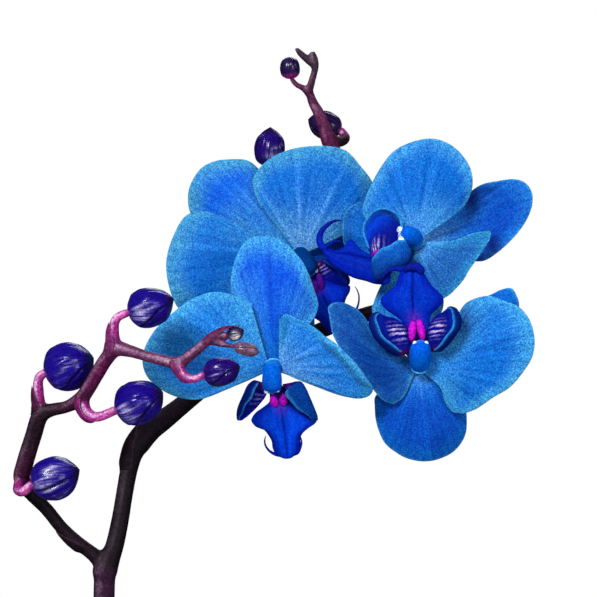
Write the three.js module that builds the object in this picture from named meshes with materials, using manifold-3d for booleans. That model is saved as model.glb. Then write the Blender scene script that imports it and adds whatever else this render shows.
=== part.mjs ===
// Moth orchid in vase: a cut, forked flower spike of a blue moth orchid standing in a bottle vase.
// Millimetres, +Z up, origin at the middle of the vase's foot. The flowers look towards -Y.
import * as THREE from 'three';
import { mergeVertices } from 'three/addons/utils/BufferGeometryUtils.js';
import Module from 'manifold-3d';

const wasm = await Module();
wasm.setup();

// Driving dimensions
const fitGap = 0.3;
const tepalThickness = 0.8;
const tepalStart = 2.9;
const sepalBack = 1.0;
const petalFront = 1.0;
const lipThickness = 0.9;
const columnRadius = 3.5;
const capShare = 0.4;

const vase = {
  height: 186,
  footRadius: 36,
  bellyRadius: 50,
  bellyHeight: 62,
  shoulderRadius: 31,
  shoulderHeight: 112,
  neckRadius: 14,
  neckHeight: 152,
  lipRadius: 19,
  wall: 4,
  base: 8,
  waterLevel: 118,
  turns: 32,
};

// Colours of the pieces
const colours = {
  petal: '#1f78dc',
  sepal: '#1b68cf',
  lip: '#1a1fa6',
  column: '#2f7fd8',
  bud: '#241a78',
  stem: '#3a1830',
  vase: '#e7e4dd',
  water: '#bcd6dc',
};

const spline = (points) => new THREE.CatmullRomCurve3(points, false, 'centripetal');
const mix = THREE.MathUtils.lerp;
const rad = THREE.MathUtils.degToRad;

function material(colour, roughness = 0.5) {
  return new THREE.MeshStandardMaterial({ color: colour, roughness, metalness: 0 });
}

// A closed thin body from a surface(u, v): the same grid on both faces, and a rim round it.
function sheet(surface, stepsU, stepsV, thickness) {
  const position = [];
  const index = [];
  const tiny = 1e-3;
  const rows = stepsV + 1;
  const at = (face, i, j) => face * (stepsU + 1) * rows + i * rows + j;
  for (const side of [0.5, -0.5]) {
    for (let i = 0; i <= stepsU; i++) {
      for (let j = 0; j <= stepsV; j++) {
        const u = i / stepsU;
        const v = j / stepsV;
        const alongU = surface(Math.min(1, u + tiny), v).sub(surface(Math.max(0, u - tiny), v));
        const alongV = surface(u, Math.min(1, v + tiny)).sub(surface(u, Math.max(0, v - tiny)));
        const normal = alongU.cross(alongV).normalize();
        position.push(...surface(u, v).addScaledVector(normal, side * thickness));
      }
    }
  }
  const quad = (a, b, c, d) => index.push(a, b, c, a, c, d);
  for (let i = 0; i < stepsU; i++) {
    for (let j = 0; j < stepsV; j++) {
      quad(at(0, i, j), at(0, i + 1, j), at(0, i + 1, j + 1), at(0, i, j + 1));
      index.push(at(1, i, j), at(1, i + 1, j + 1), at(1, i + 1, j));
      index.push(at(1, i, j), at(1, i, j + 1), at(1, i + 1, j + 1));
    }
    quad(at(0, i + 1, 0), at(0, i, 0), at(1, i, 0), at(1, i + 1, 0));
    quad(at(0, i, stepsV), at(0, i + 1, stepsV), at(1, i + 1, stepsV), at(1, i, stepsV));
  }
  for (let j = 0; j < stepsV; j++) {
    quad(at(0, 0, j), at(0, 0, j + 1), at(1, 0, j + 1), at(1, 0, j));
    quad(at(0, stepsU, j + 1), at(0, stepsU, j), at(1, stepsU, j), at(1, stepsU, j + 1));
  }
  return solidGeometry(position, index);
}

function solidGeometry(position, index) {
  const geometry = new THREE.BufferGeometry();
  geometry.setAttribute('position', new THREE.Float32BufferAttribute(position, 3));
  geometry.setIndex(index);
  return geometry;
}

// A round body along a path, with a radius at each of its points and low domed ends.
function stalk(points, radii, sides = 8, stepsPerSpan = 2) {
  const path = spline(points);
  const steps = (points.length - 1) * stepsPerSpan;
  const position = [];
  let across = new THREE.Vector3(0.3, 1, 0.2);
  const ends = [];
  for (let i = 0; i <= steps; i++) {
    const t = i / steps;
    const middle = path.getPoint(t);
    const along = path.getTangent(t);
    across = across.clone().addScaledVector(along, -across.dot(along)).normalize();
    const side = along.clone().cross(across);
    const k = Math.min(radii.length - 2, Math.floor(t * (radii.length - 1)));
    const radius = mix(radii[k], radii[k + 1], t * (radii.length - 1) - k);
    for (let s = 0; s < sides; s++) {
      const turn = (s / sides) * Math.PI * 2;
      const out = across.clone().multiplyScalar(Math.cos(turn)).addScaledVector(side, Math.sin(turn));
      position.push(...middle.clone().addScaledVector(out, radius));
    }
    if (i === 0) {
      ends.push(middle.clone().addScaledVector(along, -capShare * radius));
    }
    if (i === steps) {
      ends.push(middle.clone().addScaledVector(along, capShare * radius));
    }
  }
  ends.forEach((end) => position.push(...end));
  const index = [];
  const start = (steps + 1) * sides;
  for (let s = 0; s < sides; s++) {
    const next = (s + 1) % sides;
    for (let i = 0; i < steps; i++) {
      const a = i * sides + s;
      const b = i * sides + next;
      index.push(a, b, b + sides, a, b + sides, a + sides);
    }
    index.push(start, next, s);
    index.push(start + 1, steps * sides + s, steps * sides + next);
  }
  return solidGeometry(position, index);
}

// A ball squashed to three half sizes, at a place.
function lump(place, half, rings = 5, sides = 6) {
  const geometry = new THREE.SphereGeometry(1, sides, rings);
  geometry.scale(...half);
  geometry.translate(...place);
  return geometry;
}

function toSolid(geometry) {
  const plain = geometry.clone();
  plain.deleteAttribute('normal');
  plain.deleteAttribute('uv');
  const merged = mergeVertices(plain, 1e-4);
  return new wasm.Manifold(new wasm.Mesh({
    numProp: 3,
    vertProperties: new Float32Array(merged.attributes.position.array),
    triVerts: new Uint32Array(merged.index.array),
  }));
}

function toGeometry(solid) {
  const mesh = solid.getMesh();
  return solidGeometry(Array.from(mesh.vertProperties), Array.from(mesh.triVerts));
}

function join(geometries) {
  const solids = geometries.map(toSolid);
  return toGeometry(solids.reduce((whole, one) => whole.add(one)));
}

const orchid = new THREE.Group();

function place(parent, name, geometry, colour, roughness) {
  const mesh = new THREE.Mesh(geometry, material(colour, roughness));
  mesh.name = name;
  parent.add(mesh);
}

// A tepal grows from the flower's middle. Its outline is a list of [direction in degrees, reach in
// mm], seen from the front, and claw tells how many points at its two ends belong to the margins of
// the narrow base. The skin is filled in between the base, both margins and the far rim. How far it
// stands towards the viewer follows from lean (at its tip), arch (halfway), side (left against right
// margin), cup (both margins) and ripple.
const fromMiddle = ([turn, reach]) => (
  new THREE.Vector3(reach * Math.cos(rad(turn)), 0, reach * Math.sin(rad(turn)))
);

function tepal(shape, forward) {
  const outline = shape.outline.toReversed();
  const [lastClaw, firstClaw] = shape.claw ?? [0, 0];
  const start = outline[0][0];
  const end = outline.at(-1)[0];
  const rim = spline(outline.slice(firstClaw, outline.length - lastClaw).map(fromMiddle));
  const first = spline([[start, tepalStart], ...outline.slice(0, firstClaw + 1)].map(fromMiddle));
  const last = spline([[end, tepalStart], ...outline.slice(-1 - lastClaw).toReversed()]
    .map(fromMiddle));
  const axis = rad(shape.axis);
  const length = Math.max(...outline.map(([, reach]) => reach));
  const halfWidth = Math.max(...outline.map(([turn, reach]) => (
    Math.abs(reach * Math.sin(rad(turn) - axis))
  )));
  const surface = (u, v) => {
    const base = fromMiddle([mix(start, end, u), tepalStart]);
    const far = rim.getPointAt(u);
    const margins = first.getPointAt(v).lerp(last.getPointAt(v), u);
    const baseChord = first.getPoint(0).lerp(last.getPoint(0), u);
    const farChord = first.getPoint(1).lerp(last.getPoint(1), u);
    const { x, z } = base.sub(baseChord).lerp(far.sub(farChord), v).add(margins);
    const s = (x * Math.cos(axis) + z * Math.sin(axis)) / length;
    const w = (z * Math.cos(axis) - x * Math.sin(axis)) / halfWidth;
    const rise = s * s / (s + 0.1);
    let out = forward + shape.lean * rise + shape.arch * 4 * rise * (1 - s);
    out += (shape.side ?? 0) * w + shape.cup * w * w;
    out += (shape.ripple ?? 0.5) * v * v * Math.sin(u * (shape.waves ?? 3) * Math.PI * 2);
    return new THREE.Vector3(x, -out, z);
  };
  return sheet(surface, shape.stepsU ?? 12, 4, tepalThickness);
}

// The lip hangs below the flower's middle. Its middle lobe is a trowel with a curled cirrus at each
// side of its tip, two side lobes stand up beside the callus, and all of them are one body.
const lipRoot = 3.1;
const lipShoulder = 20;
const lipTip = 34.4;
const lipRows = [
  // distance below the middle, half width, distance out towards the viewer
  [lipRoot, 1.2, 2.3],
  [5.6, 1.7, 2.9],
  [8.5, 3.4, 4.6],
  [11, 4.2, 6.2],
  [13.5, 4.4, 7.2],
  [16, 8.2, 7.8],
  [lipShoulder, 12.2, 8],
  [22.3, 11.2, 8.5],
  [24.2, 8.2, 8.9],
  [26.5, 6, 9.2],
  [29, 5, 9.2],
  [31.6, 4.8, 8.8],
  [33.4, 3.2, 8.2],
  [lipTip, 1.2, 7.6],
];
const sideLobeRows = [
  // inner edge, then outer edge, as [right, below, out]
  [[3.2, 7.8, 6.2], [8.6, 4.6, 9.8]],
  [[3.4, 10, 6.4], [10.4, 8.6, 10.8]],
  [[3.6, 12.8, 6.8], [12.4, 12.6, 10.4]],
  [[6.5, 16, 7.2], [13.6, 16.4, 9.2]],
  [[9.5, 18.6, 7.6], [14.4, 19.2, 8.6]],
  [[11.8, 20.2, 7.9], [13.9, 20.8, 8]],
];
const cirrusPath = [[4, 32, 8.4], [6.6, 31, 9.4], [7.8, 28.6, 10], [7.2, 26.4, 9.4], [6, 26, 8.6]];
const cirrusRadii = [1.1, 0.8, 0.6, 0.5, 0.4];
const callus = { right: 1.7, below: 11.6, out: 8.6, half: [1.7, 1.9, 2.4] };

function rowSurface(left, right, bow) {
  const a = spline(left);
  const b = spline(right);
  return (u, v) => {
    const point = a.getPoint(v).lerp(b.getPoint(v), u);
    point.y -= bow(v) * (1 - (2 * u - 1) ** 2);
    return point;
  };
}

function lip(shape) {
  const size = shape.lipSize ?? 1;
  const shoulder = shape.lipShoulder ?? lipShoulder;
  const lower = (below) => (below < lipShoulder
    ? mix(lipRoot, shoulder, (below - lipRoot) / (lipShoulder - lipRoot))
    : mix(shoulder, lipTip, (below - lipShoulder) / (lipTip - lipShoulder)));
  const local = (right, below, out) => new THREE.Vector3(right, -out, -below).multiplyScalar(size);
  const edge = (hand) => lipRows.map(([below, half, out]) => (
    local(hand * half, lower(below), out - 0.12 * half)
  ));
  const pieces = [sheet(rowSurface(edge(-1), edge(1), () => 0.9), 4, 13, lipThickness)];
  for (const hand of [-1, 1]) {
    const inner = sideLobeRows.map(([[x, below, out]]) => local(hand * x, lower(below), out));
    const outer = sideLobeRows.map(([, [x, below, out]]) => local(hand * x, below, out));
    const edges = hand > 0 ? [inner, outer] : [outer, inner];
    const hollow = (v) => -1.2 * Math.sin(v * Math.PI);
    pieces.push(sheet(rowSurface(...edges, hollow), 3, 5, lipThickness));
    pieces.push(lump(local(hand * callus.right, lower(callus.below), callus.out), callus.half));
    const curl = cirrusPath.map(([x, below, out]) => local(hand * x, lower(below), out));
    pieces.push(stalk(curl, cirrusRadii, 5, 1));
  }
  return join(pieces);
}

// The column: a neck through the ring of tepals, and the hooded club over the lip, which follows the
// flower's face.
const neckRadius = 2.3;
const neckBack = 4;
const neckFront = 1.6;
const clubPath = [[0, -3.8, 0.4], [0, -6, -0.6], [0, -8.6, -3.6], [0, -9.8, -6.2], [0, -10.2, -8]];
const clubRadii = [2.8, columnRadius, columnRadius, columnRadius, 0.7 * columnRadius];

function column(turn) {
  const path = [
    new THREE.Vector3(0, neckBack, 0),
    new THREE.Vector3(0, -neckFront, 0),
    ...clubPath.map((p) => new THREE.Vector3(...p).applyEuler(turn)),
  ];
  return stalk(path, [0.85 * neckRadius, neckRadius, ...clubRadii], 10, 1);
}

// Each flower: its middle, its face (roll round the view, turn to the right, nod downwards), and its
// tepals.
const flowers = {
  front: {
    middle: [64, -5, 347.5],
    face: { roll: 8, turn: 0, nod: 6 },
    lipSize: 0.96,
    tepals: {
      dorsal_sepal: {
        axis: 88, lean: -6, arch: 5, cup: -5, outline: [[50, 24.5], [54, 29], [62, 33], [74, 41],
          [86, 48], [92, 49.5], [98, 50], [103, 48.6], [108, 45], [116, 37], [123, 28.5]],
      },
      lateral_sepal_left: {
        axis: 176, lean: -15, arch: -3, cup: -4, outline: [[148, 22], [152, 31], [160, 38],
          [170, 41.5], [180, 41.5], [188, 37], [195, 29], [199, 18]],
      },
      lateral_sepal_right: {
        axis: -6, lean: -15, arch: -3, cup: -4, outline: [[-21, 20], [-20, 28], [-15, 34],
          [-9, 35], [-2, 30], [6, 26], [14, 22], [20, 17]],
      },
      petal_left: {
        axis: 158, lean: 10, arch: 5, cup: -6, side: -1, outline: [[109, 25.5], [118, 30.5],
          [128, 36], [140, 39.8], [154, 43.5], [163, 46.5], [172, 48.6], [179, 48.8], [185, 47],
          [193, 41.5], [199, 36], [203.5, 30], [204.5, 20]],
      },
      petal_right: {
        axis: 12, lean: 13, arch: 4, cup: -3, side: 3, outline: [[-23, 17], [-22.6, 25.5],
          [-21.4, 30.5], [-19.5, 34.6], [-16, 37.6], [-12, 38.2], [-5, 34.5], [3, 31], [12, 27.6],
          [22, 25], [31, 22.8], [42, 21.8], [55, 20.8], [66, 20.4], [77, 20.6], [83, 18]],
      },
    },
  },
  back: {
    middle: [74.1, 36, 390.3],
    face: { roll: 27, turn: 5, nod: 0 },
    lipSize: 0.95,
    tepals: {
      dorsal_sepal: {
        axis: 140, lean: -7, arch: 5, cup: -5, outline: [[114, 32], [116, 40], [119, 44],
          [126, 48], [132, 51.3], [138, 53], [145, 52.7], [151, 51.3], [158, 47.6], [163, 42],
          [166, 32]],
      },
      lateral_sepal_left: {
        axis: 264, lean: -4, arch: -2, cup: -3, outline: [[240, 18], [244, 28], [252, 36],
          [260, 40], [268, 40], [276, 36], [282, 28], [285, 18]],
      },
      lateral_sepal_right: {
        axis: 8, lean: -6, arch: -2, cup: -3, outline: [[-10, 14], [-8, 22], [-2, 29], [5, 33],
          [12, 33], [18, 29], [22, 20], [23, 14]],
      },
      petal_left: {
        axis: 188, lean: 4, arch: 5, cup: -6, side: 2, outline: [[155, 21], [155, 31], [155, 42],
          [160, 47.8], [170, 50.6], [182, 52.9], [194, 53.1], [204, 52.2], [213, 48], [221, 40],
          [225, 28]],
      },
      petal_right: {
        axis: 82, lean: 2, arch: 5, cup: -6, outline: [[25, 24], [31, 33], [38, 38], [46, 41.1],
          [55, 42.7], [66, 45.4], [74, 45], [85, 43.5], [97, 42], [110, 39.7], [121, 36],
          [126, 30], [129, 19]],
      },
    },
  },
  right: {
    middle: [119.2, 20, 395],
    face: { roll: -80, turn: -12, nod: -20 },
    lipSize: 1.05,
    tepals: {
      dorsal_sepal: {
        axis: 15, lean: -10, arch: -4, cup: 4, side: -2, outline: [[-18, 23], [-14, 28], [-6, 32.8],
          [2.4, 38.2], [9, 43.2], [14, 46.6], [19, 49.3], [24, 50.6], [29, 49.8], [33, 46.8],
          [37, 41], [41.5, 35], [44, 26]],
      },
      lateral_sepal_left: {
        axis: 166, lean: -9, arch: 2, cup: -2, outline: [[137, 20], [143, 27], [148, 28.6],
          [152, 29.6], [158, 30], [165, 29.3], [178, 28.1], [189, 26], [200, 20]],
      },
      lateral_sepal_right: {
        axis: 262, lean: 2, arch: 3, cup: -4, outline: [[233, 16], [236, 26], [237, 31.3],
          [244.6, 34.6], [251, 37], [261, 38.3], [276, 35], [289, 29.7], [296, 25], [299, 17]],
      },
      petal_left: {
        axis: 92, lean: -9, arch: 4, cup: -5, side: -3, outline: [[35, 16], [37, 23], [41, 28],
          [46, 32], [54, 36.4], [63, 39.5], [71, 41.3], [80, 41.8], [91, 40], [103, 37.1],
          [113, 33.2], [126, 29], [137, 26.5], [149, 24], [157, 20]],
      },
      petal_right: {
        axis: -44, lean: 16, arch: 3, cup: -3, claw: [0, 2], outline: [[-101, 14], [-88, 20.5], [-75, 23.5],
          [-61, 23.7], [-51, 23.1], [-40, 22.7], [-29, 22.4], [-19, 23.3], [-5, 25.8], [3, 28],
          [9, 28.8], [9.5, 22], [4, 15]],
      },
    },
  },
  low: {
    middle: [119.3, 0, 347.8],
    face: { roll: 180, turn: 0, nod: 0 },
    lipShoulder: 25,
    tepals: {
      dorsal_sepal: {
        axis: 268, lean: -5, arch: 5, cup: -6, outline: [[213, 15], [216, 20.5], [223, 22.8],
          [231, 26], [239, 29.3], [247, 32.4], [255, 34.2], [263, 35.8], [272, 36.7],
          [281, 36.8], [291, 36], [299, 34.1], [305, 31.8], [311, 28.3], [317, 24.6],
          [321, 18]],
      },
      lateral_sepal_left: {
        axis: 36, lean: -6, arch: -2, cup: -3, outline: [[21, 20], [20, 30], [24, 40], [30, 44.8],
          [35, 46.2], [39.5, 46.4], [42, 43.6], [44, 39], [50, 31], [52, 20]],
      },
      lateral_sepal_right: {
        axis: 157, lean: -5, arch: -2, cup: -3, outline: [[142, 17], [144, 28], [149, 35.5],
          [156, 34.5], [164, 31], [171, 26], [176, 17]],
      },
      petal_left: {
        axis: 4, lean: 8, arch: 5, cup: -6, side: -1, claw: [2, 4], outline: [[-46, 11], [-55, 17], [-55, 21.3],
          [-48, 24.1], [-38, 26.5], [-23, 29.8], [-14, 34], [-6, 37.4], [4, 41.9], [10, 43.6],
          [17, 44.6], [24, 44.9], [31, 43.7], [38, 40.3], [45, 37.6], [50, 33.7], [53.5, 29.6],
          [53.5, 24.9], [51, 20], [48, 13]],
      },
      petal_right: {
        axis: 170, lean: 9, arch: 3, cup: -4, side: 3, claw: [4, 1], outline: [[152, 12], [147, 18.5], [142, 23],
          [138, 28], [137.5, 32.5], [140, 37.2], [143.5, 40.3], [147, 41.2], [151, 39.1],
          [156, 36.8], [160, 35], [170, 29.5], [188, 22.5], [205, 19.8], [222, 19], [236, 17.5],
          [243, 13]],
      },
    },
  },
};

const turns = {};
for (const [name, flower] of Object.entries(flowers)) {
  const { nod, roll, turn } = flower.face;
  turns[name] = new THREE.Euler(rad(nod), rad(-roll), rad(turn), 'ZXY');
  const bloom = new THREE.Group();
  bloom.position.set(...flower.middle);
  orchid.add(bloom);
  for (const [kind, shape] of Object.entries(flower.tepals)) {
    const isPetal = kind.startsWith('petal');
    const geometry = tepal(shape, isPetal ? petalFront : -sepalBack);
    place(bloom, `${name}_${kind}`, geometry, isPetal ? colours.petal : colours.sepal);
  }
  const face = new THREE.Group();
  face.rotation.copy(turns[name]);
  bloom.add(face);
  place(face, `${name}_lip`, lip(flower), colours.lip);
  place(bloom, `${name}_column`, column(turns[name]), colours.column);
}

// Buds: their middle, the way they point, half length and half width.
const buds = {
  bud_1: { middle: [-16.9, -19, 306.6], points: [1, -0.1, 0.18], length: 9, width: 7.9 },
  bud_2: { middle: [-11.5, -18, 348.3], points: [1, -0.2, 0.25], length: 9.5, width: 8.7 },
  bud_3: { middle: [15.6, -29, 335.7], points: [1, -0.3, 0.45], length: 8.9, width: 7.9 },
  bud_4: { middle: [20.1, -37, 370.3], points: [1, -0.2, 0.12], length: 8, width: 7.1 },
  bud_5: { middle: [46.2, -48, 347.4], points: [1, -0.2, 0.22], length: 6.6, width: 5.1 },
  bud_tip_1: { middle: [51.5, -48, 361.1], points: [1, 0, 0.35], length: 2.8, width: 2.5 },
  bud_tip_2: { middle: [55.2, -48.5, 355.4], points: [1, 0, -0.1], length: 4.4, width: 2.4 },
  bud_top_1: { middle: [70.1, 48, 466.4], points: [-0.1, -0.1, 1], length: 4.5, width: 4 },
  bud_top_2: { middle: [84.3, 62, 444.8], points: [-0.87, 0, 0.45], length: 7, width: 5.5 },
  bud_top_3: { middle: [61.9, 58, 434.6], points: [0, -0.1, 1], length: 7.6, width: 6.3 },
};
const budSides = 10;
const budProfile = [
  // along the bud from its base to its tip, then across, as shares of the half length and width
  [-1, 0],
  [-0.9, 0.45],
  [-0.6, 0.84],
  [-0.15, 1],
  [0.3, 0.94],
  [0.66, 0.68],
  [0.9, 0.3],
  [1.08, 0],
];

function bud(shape) {
  const profile = budProfile.map(([along, across]) => (
    new THREE.Vector2(across * shape.width, along * shape.length)
  ));
  return new THREE.LatheGeometry(profile, budSides);
}

const budPoints = (shape) => new THREE.Vector3(...shape.points).normalize();

for (const [name, shape] of Object.entries(buds)) {
  const mesh = new THREE.Mesh(bud(shape), material(colours.bud, 0.3));
  mesh.name = name;
  mesh.position.set(...shape.middle);
  mesh.quaternion.setFromUnitVectors(new THREE.Vector3(0, 1, 0), budPoints(shape));
  orchid.add(mesh);
}

// The spike, as [x, y, z, radius] along each limb: the stem with its right branch, which passes
// behind the flowers, the left branch, and the two prongs at the top.
const limbs = {
  stem: [
    [0, 0, 10.2, 4.2], [0, 0, 100, 4.2], [-0.2, 0, 200, 4.2], [-0.4, 0, 256, 4.1],
    [-0.2, 0, 266, 4.1], [0, 0, 270, 4.8], [1.3, 0.5, 274, 4.4], [3.2, 1.5, 278.4, 3.6],
    [5.4, 4, 288.8, 3.4], [6.7, 6, 297.4, 3.3], [8.1, 9, 306.4, 3.4], [9.6, 12, 313.8, 4.1],
    [12, 15, 318.4, 5], [16.2, 18, 322.8, 4.6], [20.6, 22, 325.9, 4.2], [25.8, 26, 329.9, 3.8],
    [31.5, 31, 334.5, 3.6], [44.2, 40, 344.4, 3.4], [58.8, 47, 351.2, 3.4], [72.1, 50, 356.2, 3.3],
    [83, 51, 360.7, 3.3], [92.3, 51, 364.3, 3.2], [101.6, 51, 367.1, 3.2], [112.4, 50, 370.4, 3.1],
    [121.7, 50, 376.8, 3.1], [126.6, 51, 385.7, 3.1], [127.1, 52, 395, 3.1], [122.7, 52, 404.3, 3],
    [113.8, 53, 410.9, 3], [103.3, 54, 414.2, 3], [95.2, 54, 421.5, 3], [89.9, 53, 429.5, 3.3],
    [86.2, 52, 436.7, 3.8], [84.6, 51, 443.1, 3], [82.2, 50, 448.7, 2.4], [80, 50, 452.3, 1.9],
    [77.7, 49, 457, 1.6],
  ],
  left_branch: [
    [0, 0, 270.5, 3.4], [-3, 0, 274.8, 2.9], [-7.5, -1, 278.7, 2.6], [-12, -2, 281.9, 3],
    [-16.9, -3, 287.5, 2.5], [-21.6, -4, 293.6, 2.5], [-28.7, -6, 301.4, 2.7], [-30.6, -8, 305.9, 3.2],
    [-29.2, -10, 311.3, 3.3], [-25.6, -13, 322, 3.2], [-22.2, -16, 330.4, 3.2],
    [-18.1, -17, 332, 2.5], [-12.7, -19, 333.2, 2.3], [-7.2, -22, 336.1, 2.8],
    [-4, -25, 340, 2.7], [-0.4, -28, 345.7, 2.7], [3.6, -31, 351.7, 2.7], [7, -33, 355, 2.9],
    [12.3, -35, 354.3, 2.3], [18.3, -38, 352.6, 2], [24.2, -40, 351.2, 2.1],
    [30.1, -42, 350.2, 2.3], [35.3, -44, 353.5, 1.9], [41.1, -46, 358.2, 1.8],
    [44, -46.6, 359.6, 1.5],
  ],
  top_right_prong: [
    [77.7, 49, 456.4, 1.6], [78.9, 48, 461, 1.5], [79.9, 48, 464.6, 1.4], [80.3, 47, 467.3, 1.5],
    [79.8, 47, 469.7, 1.6], [78.9, 47, 472.4, 1.3],
  ],
  top_left_prong: [
    [80.1, 47.3, 466.9, 1.4], [77.3, 47, 469.4, 1.2], [74.5, 46.5, 471.5, 1], [71.9, 46, 474.6, 0.4],
  ],
};

// Stalks of the buds: from inside the stem to just short of the bud, with the radii at both ends.
const budStalks = {
  bud_1: { from: [[-30.9, -9, 305], [-31.2, -13, 302], [-28.6, -17, 301.8]], radii: [2, 1.5] },
  bud_2: { from: [[-22.6, -15.5, 332], [-23.4, -15.6, 339], [-23, -15.8, 344]], radii: [1.8, 1.3] },
  bud_3: { from: [[-6, -22.5, 336.4], [-4.8, -24, 332.2], [-1, -26, 329.9]], radii: [2, 1.6] },
  bud_4: { from: [[7, -33.5, 355.5], [6.4, -34, 361], [7.3, -35, 366]], radii: [1.7, 1.3] },
  bud_5: { from: [[30.1, -42, 350.2], [32.4, -44.4, 346], [36, -46, 344.6]], radii: [1.4, 1] },
  bud_tip_1: { from: [[41.5, -46, 358.4], [45, -47, 360]], radii: [1.4, 0.9] },
  bud_tip_2: { from: [[41.5, -46, 358.4], [45.6, -47.4, 357.2]], radii: [1.4, 0.9] },
  bud_top_1: { from: [[77.9, 49, 455.4], [75.3, 48.8, 458.2], [72.6, 48.6, 459.6]], radii: [1.4, 1] },
  bud_top_2: { from: [[85.6, 52, 438.2], [89.4, 55, 437], [92.6, 60, 439]], radii: [2.6, 1.8] },
  bud_top_3: { from: [[90.4, 53, 428.8], [80, 57, 423.6], [66, 59, 421.4]], radii: [1.6, 1.2] },
};

// Stalks of the flowers: from inside the stem towards the flower's back.
const flowerStalks = {
  front: [[50.1, 43.5, 345.2], [56, 36, 349.6], [61.6, 24, 349]],
  back: [[74.1, 50, 357.1], [76.4, 55, 366], [77, 55, 378], [75, 50, 387.4]],
  right: [[126.8, 51, 388], [125, 46, 392.4], [121.4, 36, 392]],
  low: [[103.2, 51, 367.7], [110.4, 48, 361.4], [117, 36, 352.6], [119.6, 20, 348.2]],
};
const flowerStalkRadius = 1.7;

function spike() {
  const pieces = Object.values(limbs).map((limb) => (
    stalk(limb.map(([x, y, z]) => new THREE.Vector3(x, y, z)), limb.map((p) => p[3]), 8, 1)
  ));
  for (const [name, { from, radii }] of Object.entries(budStalks)) {
    const reach = buds[name].length + fitGap + capShare * radii[1];
    const end = new THREE.Vector3(...buds[name].middle).addScaledVector(budPoints(buds[name]), -reach);
    const points = [...from.map((p) => new THREE.Vector3(...p)), end];
    const sizes = points.map((_, i) => mix(radii[0], radii[1], i / (points.length - 1)));
    pieces.push(stalk(points, sizes, 6, 2));
  }
  for (const [name, from] of Object.entries(flowerStalks)) {
    const back = neckBack + capShare * (0.85 * neckRadius + flowerStalkRadius) + fitGap;
    const end = new THREE.Vector3(...flowers[name].middle).add(new THREE.Vector3(0, back, 0));
    const points = [...from.map((p) => new THREE.Vector3(...p)), end];
    pieces.push(stalk(points, points.map(() => flowerStalkRadius), 6, 2));
  }
  return join(pieces);
}

place(orchid, 'flower_stem', spike(), colours.stem);

// The vase and its water: a bottle shape turned round the stem.
const vaseOutside = spline([
  new THREE.Vector3(vase.footRadius, 2, 0),
  new THREE.Vector3(vase.bellyRadius, vase.bellyHeight, 0),
  new THREE.Vector3(vase.shoulderRadius, vase.shoulderHeight, 0),
  new THREE.Vector3(vase.neckRadius, vase.neckHeight, 0),
  new THREE.Vector3(vase.lipRadius, vase.height - 1, 0),
]).getPoints(12).map((p) => new THREE.Vector2(p.x, p.y));
const vaseInside = vaseOutside.filter((p) => p.y > 2 * vase.base)
  .map((p) => new THREE.Vector2(p.x - vase.wall, p.y));
const floorRadius = vase.footRadius - vase.wall - 1;

function turned(profile) {
  const geometry = new THREE.LatheGeometry(profile, vase.turns);
  geometry.rotateX(Math.PI / 2);
  return geometry;
}

function vaseBody() {
  return turned([
    new THREE.Vector2(0, 0),
    new THREE.Vector2(vase.footRadius - 2, 0),
    ...vaseOutside,
    new THREE.Vector2(vase.lipRadius - vase.wall / 2, vase.height),
    ...vaseInside.toReversed(),
    new THREE.Vector2(floorRadius, vase.base),
    new THREE.Vector2(0, vase.base),
  ]);
}

function waterBody() {
  const above = vaseInside.findIndex((p) => p.y >= vase.waterLevel);
  const [low, high] = [vaseInside[above - 1], vaseInside[above]];
  const surface = low.clone().lerp(high, (vase.waterLevel - low.y) / (high.y - low.y));
  const side = [...vaseInside.slice(0, above), surface]
    .map((p) => new THREE.Vector2(p.x - fitGap, p.y));
  const body = turned([
    new THREE.Vector2(0, vase.base + fitGap),
    new THREE.Vector2(floorRadius - fitGap, vase.base + fitGap),
    ...side,
    new THREE.Vector2(0, vase.waterLevel),
  ]);
  const holeRadius = limbs.stem[0][3] + fitGap;
  const hole = new THREE.CylinderGeometry(holeRadius, holeRadius, 2 * vase.height, 12);
  hole.rotateX(Math.PI / 2);
  return toGeometry(toSolid(body).subtract(toSolid(hole)));
}

place(orchid, 'vase', vaseBody(), colours.vase, 0.25);
place(orchid, 'water', waterBody(), colours.water, 0.1);

export default orchid;
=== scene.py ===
import math
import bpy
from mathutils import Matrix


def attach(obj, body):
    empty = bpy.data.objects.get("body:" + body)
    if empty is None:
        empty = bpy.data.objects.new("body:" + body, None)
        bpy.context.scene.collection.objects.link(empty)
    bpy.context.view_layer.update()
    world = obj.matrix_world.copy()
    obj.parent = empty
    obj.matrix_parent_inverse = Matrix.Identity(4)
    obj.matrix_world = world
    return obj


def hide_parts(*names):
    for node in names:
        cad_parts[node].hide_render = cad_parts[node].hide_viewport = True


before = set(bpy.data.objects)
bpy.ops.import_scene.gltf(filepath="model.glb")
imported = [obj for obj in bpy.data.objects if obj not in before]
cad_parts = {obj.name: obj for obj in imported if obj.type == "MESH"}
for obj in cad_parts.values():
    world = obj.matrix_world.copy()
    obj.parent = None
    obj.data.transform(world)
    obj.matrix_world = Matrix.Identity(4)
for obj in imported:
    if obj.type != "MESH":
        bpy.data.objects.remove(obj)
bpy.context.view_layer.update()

from types import SimpleNamespace
import bpy
import numpy as np
from mathutils import Euler, Vector, kdtree

mm = 0.001
scene = bpy.context.scene
print("frame in, nodes:", len(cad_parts))


# small maths; lengths are millimetres until a mesh is made
def mix(a, b, t):
    return a + (b - a) * t


def tone(*values):
    return np.array(values, float)


def toned(table):
    return {name: tone(*value) for name, value in table.items()}


# a tint turned towards a colour, by a share for each point
def wash(tint, colour, share):
    return mix(tint, colour, np.asarray(share)[..., None])


def smooth(x, low, high):
    t = np.clip((np.asarray(x, float) - low) / (high - low), 0, 1)
    return t * t * (3 - 2 * t)


def bell(x, width):
    return np.exp(-(np.asarray(x, float) / width) ** 2)


def unit(a):
    return a / np.maximum(np.linalg.norm(a, axis=-1, keepdims=True), 1e-9)


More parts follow.
